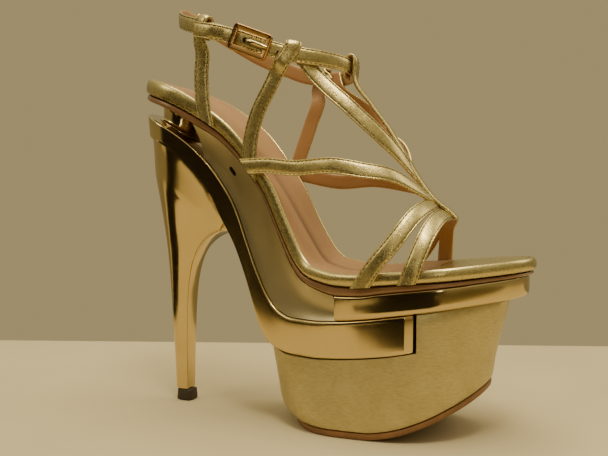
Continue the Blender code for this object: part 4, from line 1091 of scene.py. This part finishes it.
def hung_inside(hangs):
    """Start of a strap that hangs from the inner face of the ankle strap; rows are angle and height."""
    path = []
    for angle, height in hangs:
        point, outward, up = ankle_frame(angle)
        path.append((point - outward * (HANG_CLEAR + STRAP_THICKNESS) + up * height, outward))
    return path


LATERAL_LOOP = 123.0
CENTRE_LOOP = 180.0
MEDIAL_LOOP = 242.0
LEAN_OUT = 4.0
LEAN_IN = 11.0
FALL_TWIST = 2.0
upper_paths["instep_rise_lateral"] = laid([
    (47.4, 0.0, 0.0), (47.6, 5.0, 0.0), (49.0, 17.0, 0.0), (53.0, 31.0, 0.2), (59.0, 47.0, 0.4),
    (64.0, 62.0, 0.8),
]) + loop_over(LATERAL_LOOP, LEAN_OUT, LEAN_IN, LOOP_TAIL_SHORT)
upper_paths["instep_rise_medial"] = laid([
    (50.0, 180.0, 0.0), (52.5, 172.0, 0.0), (55.5, 161.0, 0.0), (60.5, 141.0, 0.2), (64.5, 121.0, 0.8),
]) + loop_over(MEDIAL_LOOP, -LEAN_OUT, -LEAN_IN, LOOP_TAIL_SHORT)
upper_paths["instep_fall_lateral"] = hung_inside([(128.0, 2.0), (135.0, -4.0)]) + laid(
    [(100.5, 62.5, 0.0), (113.0, 69.0, 0.0), (120.5, 78.5, 0.2), (127.5, 90.0, 0.6)], FALL_TWIST)
upper_paths["instep_fall_medial"] = hung_inside([(225.0, 1.5), (219.0, -6.0)]) + laid(
    [(95.0, 123.0, 0.0), (105.0, 121.0, 0.0), (115.0, 113.0, 0.2), (127.5, 90.0, 0.6)], FALL_TWIST)

# Waist straps: one from each side of the arch, of the same stitched leather. It is sewn over the foot of the
# instep strap and runs forward to the vamp.
upper_paths["waist_lateral"] = laid([
    (45.6, 0.0, 1.4), (58.0, 12.8, 1.2), (72.0, 24.2, 0.0), (95.5, 31.5, 0.0), (109.0, 40.0, 0.0),
    (120.5, 53.0, 0.2), (129.0, 72.0, 0.8), (136.0, 90.0, 0.8),
])
upper_paths["waist_medial"] = laid([
    (45.6, 180.0, 1.4), (58.0, 168.4, 1.2), (77.5, 155.5, 0.0), (97.0, 151.0, 0.0), (111.5, 143.0, 0.0),
    (121.5, 133.0, 0.2), (129.0, 112.0, 0.8), (136.0, 90.0, 0.8),
])

# Centre strap: it folds round the front of the ankle strap, runs down the ridge of the foot over the other
# straps and is turned in over the front toe strap.
upper_paths["centre"] = laid([
    (147.6, 90.0, 1.0), (144.4, 90.0, 1.6), (140.0, 90.0, 1.6), (135.0, 90.0, 1.7), (129.0, 90.0, 1.5),
    (122.0, 90.0, 0.6), (113.0, 90.0, 0.0), (103.5, 90.0, 0.2),
]) + loop_over(CENTRE_LOOP)
for name, path in upper_paths.items():
    strap = add_piece(f"strap_{name}", strap_mesh(path), [strap_gold, nude_leather], smooth_angle=50.0)
    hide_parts("upper")
upper_stitches = add_piece("upper_stitches", stitch_mesh(upper_paths.values()), [thread_and_hole_shade])

# Heel strap: a short upright strap on the outer side, of the same stitched leather. It is lasted under the
# rim beside the heel and folded over the ankle strap.
HEEL_LOOP = 62.5
HEEL_LEAN = -1.5
heel_route = [(23.6, 0.0, 0.0), (21.8, 10.0, 0.0), (21.0, 28.0, 0.0), (21.6, 48.0, 0.6)]
heel_path = laid(heel_route) + loop_over(HEEL_LOOP, HEEL_LEAN)
heel_strap = add_piece("strap_heel", strap_mesh(heel_path), [strap_gold, nude_leather], smooth_angle=50.0)
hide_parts("heel_strap")

# Ankle strap: it starts under the buckle, goes round the back, the inner side and the front, and through the
# buckle again over its own start. It has punched holes and a squared, stitched tip.
STRAP_START = 90.0
STRAP_TIP = 62.0
TIP_DROP = 1.6
OVERLAP_END = 104.0
OVERLAP_START = 117.0
LOOP_RISE = LAYER + 0.5
RISE_START = 82.0
RISE_END = 71.0
BUCKLE_ANGLE = 98.4
ANKLE_STEPS = 160


def eased(angle, start, end):
    """Goes smoothly from 0 at a start angle to 1 at a smaller end angle."""
    share = min(max((start - angle) / (start - end), 0.0), 1.0)
    return share * share * (3 - 2 * share)


def strap_offset(angle):
    """Rise of the free end over the loop: one layer up on its own start, then over the heel strap's fold."""
    return LAYER * eased(angle, OVERLAP_START, OVERLAP_END) + LOOP_RISE * eased(angle, RISE_START, RISE_END)


ankle_path = []
for k in range(ANKLE_STEPS + 1):
    travelled = (360.0 + STRAP_START - STRAP_TIP) * k / ANKLE_STEPS
    angle = STRAP_START - travelled
    point, outward, up = ankle_frame(angle)
    if travelled > 180.0:
        angle += 360.0
        drop = TIP_DROP * max((RISE_START - angle) / (RISE_START - STRAP_TIP), 0.0)
        point = point + outward * strap_offset(angle) - up * drop
    ankle_path.append((point, outward))

buckle_middle, buckle_out, buckle_up = ankle_frame(BUCKLE_ANGLE)
buckle_along = buckle_up.cross(buckle_out)


def on_buckle(along, across, out):
    """Point given along, across and out from the buckle's middle."""
    return buckle_middle + buckle_along * along + buckle_up * across + buckle_out * out


# place along the buckle of the hole's foot and mouth, how far out its foot lies, radius
strap_holes = [(-3.5, -2.5, 2.3, 1.25), (14.6, 14.6, 0.5, 1.0)]
HOLE_MOUTH = 6.0
# Painted shade: the holes' walls and blind floors take the dark thread colour, standing in for the shade
# inside them.
punches = [punch(on_buckle(foot, 0.0, out), on_buckle(mouth, 0.0, HOLE_MOUTH), radius, 2)
           for foot, mouth, out, radius in strap_holes]
ankle_mesh = cut_with(strap_mesh(ankle_path), punches)
ankle_finishes = [strap_gold, nude_leather, thread_and_hole_shade]
ankle_strap = add_piece("strap_ankle", ankle_mesh, ankle_finishes, smooth_angle=50.0)
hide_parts("ankle_strap")
side_stitches = add_piece("ankle_and_heel_stitches", stitch_mesh([heel_path, ankle_path]), [thread_and_hole_shade])

# Buckle: a cast rectangular frame with bevelled faces, plated copper gold. The strap goes through it and
# holds it in place.
BUCKLE_LENGTH = 21.6
BUCKLE_HEIGHT = 13.6
BUCKLE_CORNER = 2.0
BUCKLE_TOP = 5.6
BUCKLE_DEPTH = 1.45
CORNER_STEPS = 8
CORNER_LEAST = 0.35
# inwards from the frame's outer side, and out from the strap
limb_section = [
    (0.0, -BUCKLE_DEPTH), (0.0, -0.8), (0.12, -0.45), (0.5, 0.0), (0.9, 0.0), (2.3, -0.55), (2.6, -0.6),
    (2.85, -0.8), (2.85, -BUCKLE_DEPTH),
]


def buckle_place(i, j):
    """Point of the frame: i goes round the rectangle, and j round the limb's section."""
    quarter, step = divmod(i % (4 * (CORNER_STEPS + 1)), CORNER_STEPS + 1)
    inset, drop = limb_section[j % len(limb_section)]
    radius = max(BUCKLE_CORNER - inset, CORNER_LEAST)
    reach = BUCKLE_LENGTH / 2 - inset - radius
    rise = BUCKLE_HEIGHT / 2 - inset - radius
    turn = math.radians(90 * (quarter + step / CORNER_STEPS))
    along = (reach if quarter in (0, 3) else -reach) + radius * math.cos(turn)
    across = (rise if quarter in (0, 1) else -rise) + radius * math.sin(turn)
    return on_buckle(along, across, BUCKLE_TOP + drop)


copper_gold = plated("copper_gold_plating", (0.56, 0.33, 0.13), (0.44, 0.25, 0.09), 0.2)
buckle_mesh = bent_grid(4 * (CORNER_STEPS + 1), len(limb_section), buckle_place)
buckle = add_piece("cast_buckle_frame", buckle_mesh, [copper_gold], smooth_angle=28.0)
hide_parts("buckle_frame")

# Buckle prong: a bent wire, plated like the heel. It comes up through a hole in the strap and rests on the
# frame's end.
# along the buckle, out from the strap's inner face, radius
prong_rows = [
    (-3.7, 1.2, 0.7), (-3.0, 2.4, 0.7), (-2.0, 4.4, 0.75), (-0.6, 6.1, 0.9), (2.0, 6.6, 1.15),
    (7.0, 6.8, 1.05), (10.4, 6.7, 0.7),
]
PRONG_SIDES = 16
PRONG_STEP = 0.4
prong_points = [on_buckle(along, 0.0, out) for along, out, _ in prong_rows]
prong_frames = strap_frames([(point, buckle_out) for point in prong_points], PRONG_STEP)
prong_spans = [(b - a).length for a, b in zip(prong_points, prong_points[1:])]
prong_lengths = np.concatenate([[0.0], np.cumsum(prong_spans)])


def prong_place(i, j):
    """Point of the prong: i goes along it, and j round it."""
    point, _, sideways, outward, distance = prong_frames[i]
    radius = float(np.interp(distance, prong_lengths, [row[2] for row in prong_rows]))
    turn = 2 * math.pi * j / PRONG_SIDES
    return point + sideways * (radius * math.cos(turn)) + outward * (radius * math.sin(turn))


prong_mesh = bent_grid(len(prong_frames) - 1, PRONG_SIDES, prong_place)
prong = add_piece("buckle_tongue", prong_mesh, [mirror_gold], smooth_angle=60.0)
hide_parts("buckle_prong")

# Studio: a pale painted shelf as floor in a warm room that is darkest towards the front, and soft lights from
# above. Black and dim cards lie on the floor, where only the plating mirrors them.
VIEW_YAW = 0.375299
SHELF_MIDDLE = Vector((0.09, 0.0, 0.0))
shelf_ahead = Vector((-math.sin(VIEW_YAW), math.cos(VIEW_YAW), 0.0))
shelf_aside = Vector((math.cos(VIEW_YAW), math.sin(VIEW_YAW), 0.0))
CARD_LIFT = 0.004
MATT = 0.9


def flat_sheet(name, corners, height, tones):
    """Matt sheet over corners given aside and ahead of the shelf's middle, with its two tones."""
    bm = bmesh.new()
    places = [SHELF_MIDDLE + shelf_aside * aside + shelf_ahead * ahead for aside, ahead in corners]
    bm.faces.new([bm.verts.new((place.x, place.y, height)) for place in places])
    mesh = bpy.data.meshes.new(name)
    bm.to_mesh(mesh)
    bm.free()
    paint, tree, shader, place = new_finish(name)
    haze = grain(tree, place, 160.0, detail=3.0)
    colour = blend_of(tree, haze, [(0.3, tones[0]), (0.7, tones[1])])
    tree.links.new(colour, shader.inputs["Base Color"])
    shader.inputs["Roughness"].default_value = MATT
    shader.inputs["Specular IOR Level"].default_value = 0.0
    mesh.materials.append(paint)
    sheet = bpy.data.objects.new(name, mesh)
    bpy.context.scene.collection.objects.link(sheet)
    return sheet


shelf_corners = [(0.9, -1.3), (0.9, 0.205), (-1.3, 0.205), (-1.3, -1.3)]
floor = flat_sheet("studio_floor", shelf_corners, 0.0, [(0.53, 0.45, 0.3), (0.57, 0.49, 0.33)])

BLACK = (0.01, 0.008, 0.006)
DIM = (0.09, 0.072, 0.036)
front_card = [
    (-0.38, -0.34), (-0.25, -0.28), (-0.17, -0.24), (-0.09, -0.21), (0.0, -0.21), (0.02, -0.42), (-0.1, -0.7),
    (-0.1, -1.3), (-0.72, -1.3), (-0.72, -0.67), (-0.38, -0.67),
]
left_card = [
    (-0.29, 0.2), (-0.28, 0.1), (-0.34, -0.12), (-0.37, -0.2), (-0.51, -0.27), (-0.61, -0.35), (-0.69, -0.44),
    (-0.71, -0.66), (-2.2, -1.6), (-2.2, -0.5), (-1.3, -0.12), (-0.9, -0.02), (-0.56, 0.12),
]
right_card = [(0.03, -0.37), (0.9, -0.37), (0.9, -1.3), (-0.09, -1.3), (-0.09, -0.7)]
cards = [("front_card", front_card, BLACK), ("left_card", left_card, BLACK), ("right_card", right_card, DIM)]
for name, corners, tone in cards:
    card = flat_sheet(name, corners, CARD_LIFT, [tone, tone])
    card.visible_camera = False
    card.visible_diffuse = False
    card.visible_shadow = False

world = bpy.data.worlds.new("studio")
bpy.context.scene.world = world
world.use_nodes = True
tree = world.node_tree
tree.nodes.clear()
sky = make_node(tree, "ShaderNodeTexCoord").outputs["Generated"]
height = make_node(tree, "ShaderNodeSeparateXYZ", {"Vector": sky}).outputs["Z"]


def share_of(value, start, end):
    """Share of the way of a value in the room from a start to an end."""
    inputs = {"Value": value, "From Min": start, "From Max": end}
    return make_node(tree, "ShaderNodeMapRange", inputs).outputs["Result"]


room_tones = [
    (0.0, (0.1, 0.08, 0.04)), (0.5, (0.3, 0.235, 0.11)), (0.6, (0.24, 0.2, 0.105)), (0.76, (0.5, 0.43, 0.25)),
    (1.0, (1.0, 0.88, 0.56)),
]
room = blend_of(tree, share_of(height, -1.0, 1.0), room_tones)
DARK_SIDE = (-0.17, -0.985, 0.0)
DARK_TONE = (0.014, 0.01, 0.006, 1.0)
WALL_TONE = (0.385, 0.295, 0.14, 1.0)
towards = make_node(tree, "ShaderNodeVectorMath", {0: sky, 1: DARK_SIDE}, operation="DOT_PRODUCT")
near = share_of(towards.outputs["Value"], 0.8, 0.9)
low = share_of(height, 0.75, 0.45)
shade = make_node(tree, "ShaderNodeMath", {0: near, 1: low}, operation="MULTIPLY").outputs["Value"]
shaded = mix_of(tree, shade, room, DARK_TONE)
mirrored = make_node(tree, "ShaderNodeBackground", {"Color": shaded, "Strength": 1.0}).outputs["Background"]
wall = make_node(tree, "ShaderNodeBackground", {"Color": WALL_TONE, "Strength": 1.0}).outputs["Background"]
seen = make_node(tree, "ShaderNodeLightPath").outputs["Is Camera Ray"]
mixed = make_node(tree, "ShaderNodeMixShader", {0: seen, 1: mirrored, 2: wall}).outputs["Shader"]
make_node(tree, "ShaderNodeOutputWorld", {"Surface": mixed})

LAMP_TONE = (1.0, 0.87, 0.58)


def soft_light(name, at, target, size, power):
    """Rectangular area light aimed at a point."""
    lamp = bpy.data.lights.new(name, "AREA")
    lamp.shape = "RECTANGLE"
    lamp.size, lamp.size_y = size
    lamp.energy = power
    lamp.color = LAMP_TONE
    made = bpy.data.objects.new(name, lamp)
    made.location = at
    made.rotation_mode = "QUATERNION"
    made.rotation_quaternion = (Vector(target) - Vector(at)).to_track_quat("-Z", "Y")
    bpy.context.scene.collection.objects.link(made)


soft_light("overhead", (0.1, 0.05, 1.3), (0.09, 0.0, 0.1), (0.8, 0.6), 10.0)
soft_light("spot_above", (0.3, -0.35, 1.0), (0.12, 0.0, 0.1), (0.22, 0.22), 4.0)
soft_light("front_left", (-0.7, -0.8, 0.9), (0.08, 0.0, 0.1), (0.5, 0.5), 2.6)
soft_light("strip_right", (0.4, -1.16, 0.36), (0.0, 0.0, 0.15), (0.1, 0.4), 0.6)
soft_light("right_rear", (0.9, 0.6, 0.8), (0.1, 0.0, 0.1), (0.6, 0.6), 2.6)

# Camera: at about half the shoe's height, looking at its outer side from the front quarter, with a normal
# lens and a slight roll.
CAMERA_AT = (0.22094, -0.38043, 0.11409)
CAMERA_PITCH = 0.036357
CAMERA_ROLL = 0.010053
CAMERA_LENS = 45.35
camera = bpy.data.cameras.new("camera")
camera.lens = CAMERA_LENS
camera.sensor_width = 36.0
camera.clip_start = 0.01
viewer = bpy.data.objects.new("camera", camera)
forward = shelf_ahead * math.cos(CAMERA_PITCH) - Vector((0.0, 0.0, math.sin(CAMERA_PITCH)))
above = shelf_aside.cross(forward)
tilted_right = shelf_aside * math.cos(CAMERA_ROLL) + above * math.sin(CAMERA_ROLL)
tilted_above = above * math.cos(CAMERA_ROLL) - shelf_aside * math.sin(CAMERA_ROLL)
turn = Matrix((tilted_right, tilted_above, -forward)).transposed().to_4x4()
viewer.matrix_world = Matrix.Translation(CAMERA_AT) @ turn
bpy.context.scene.collection.objects.link(viewer)
bpy.context.scene.camera = viewer
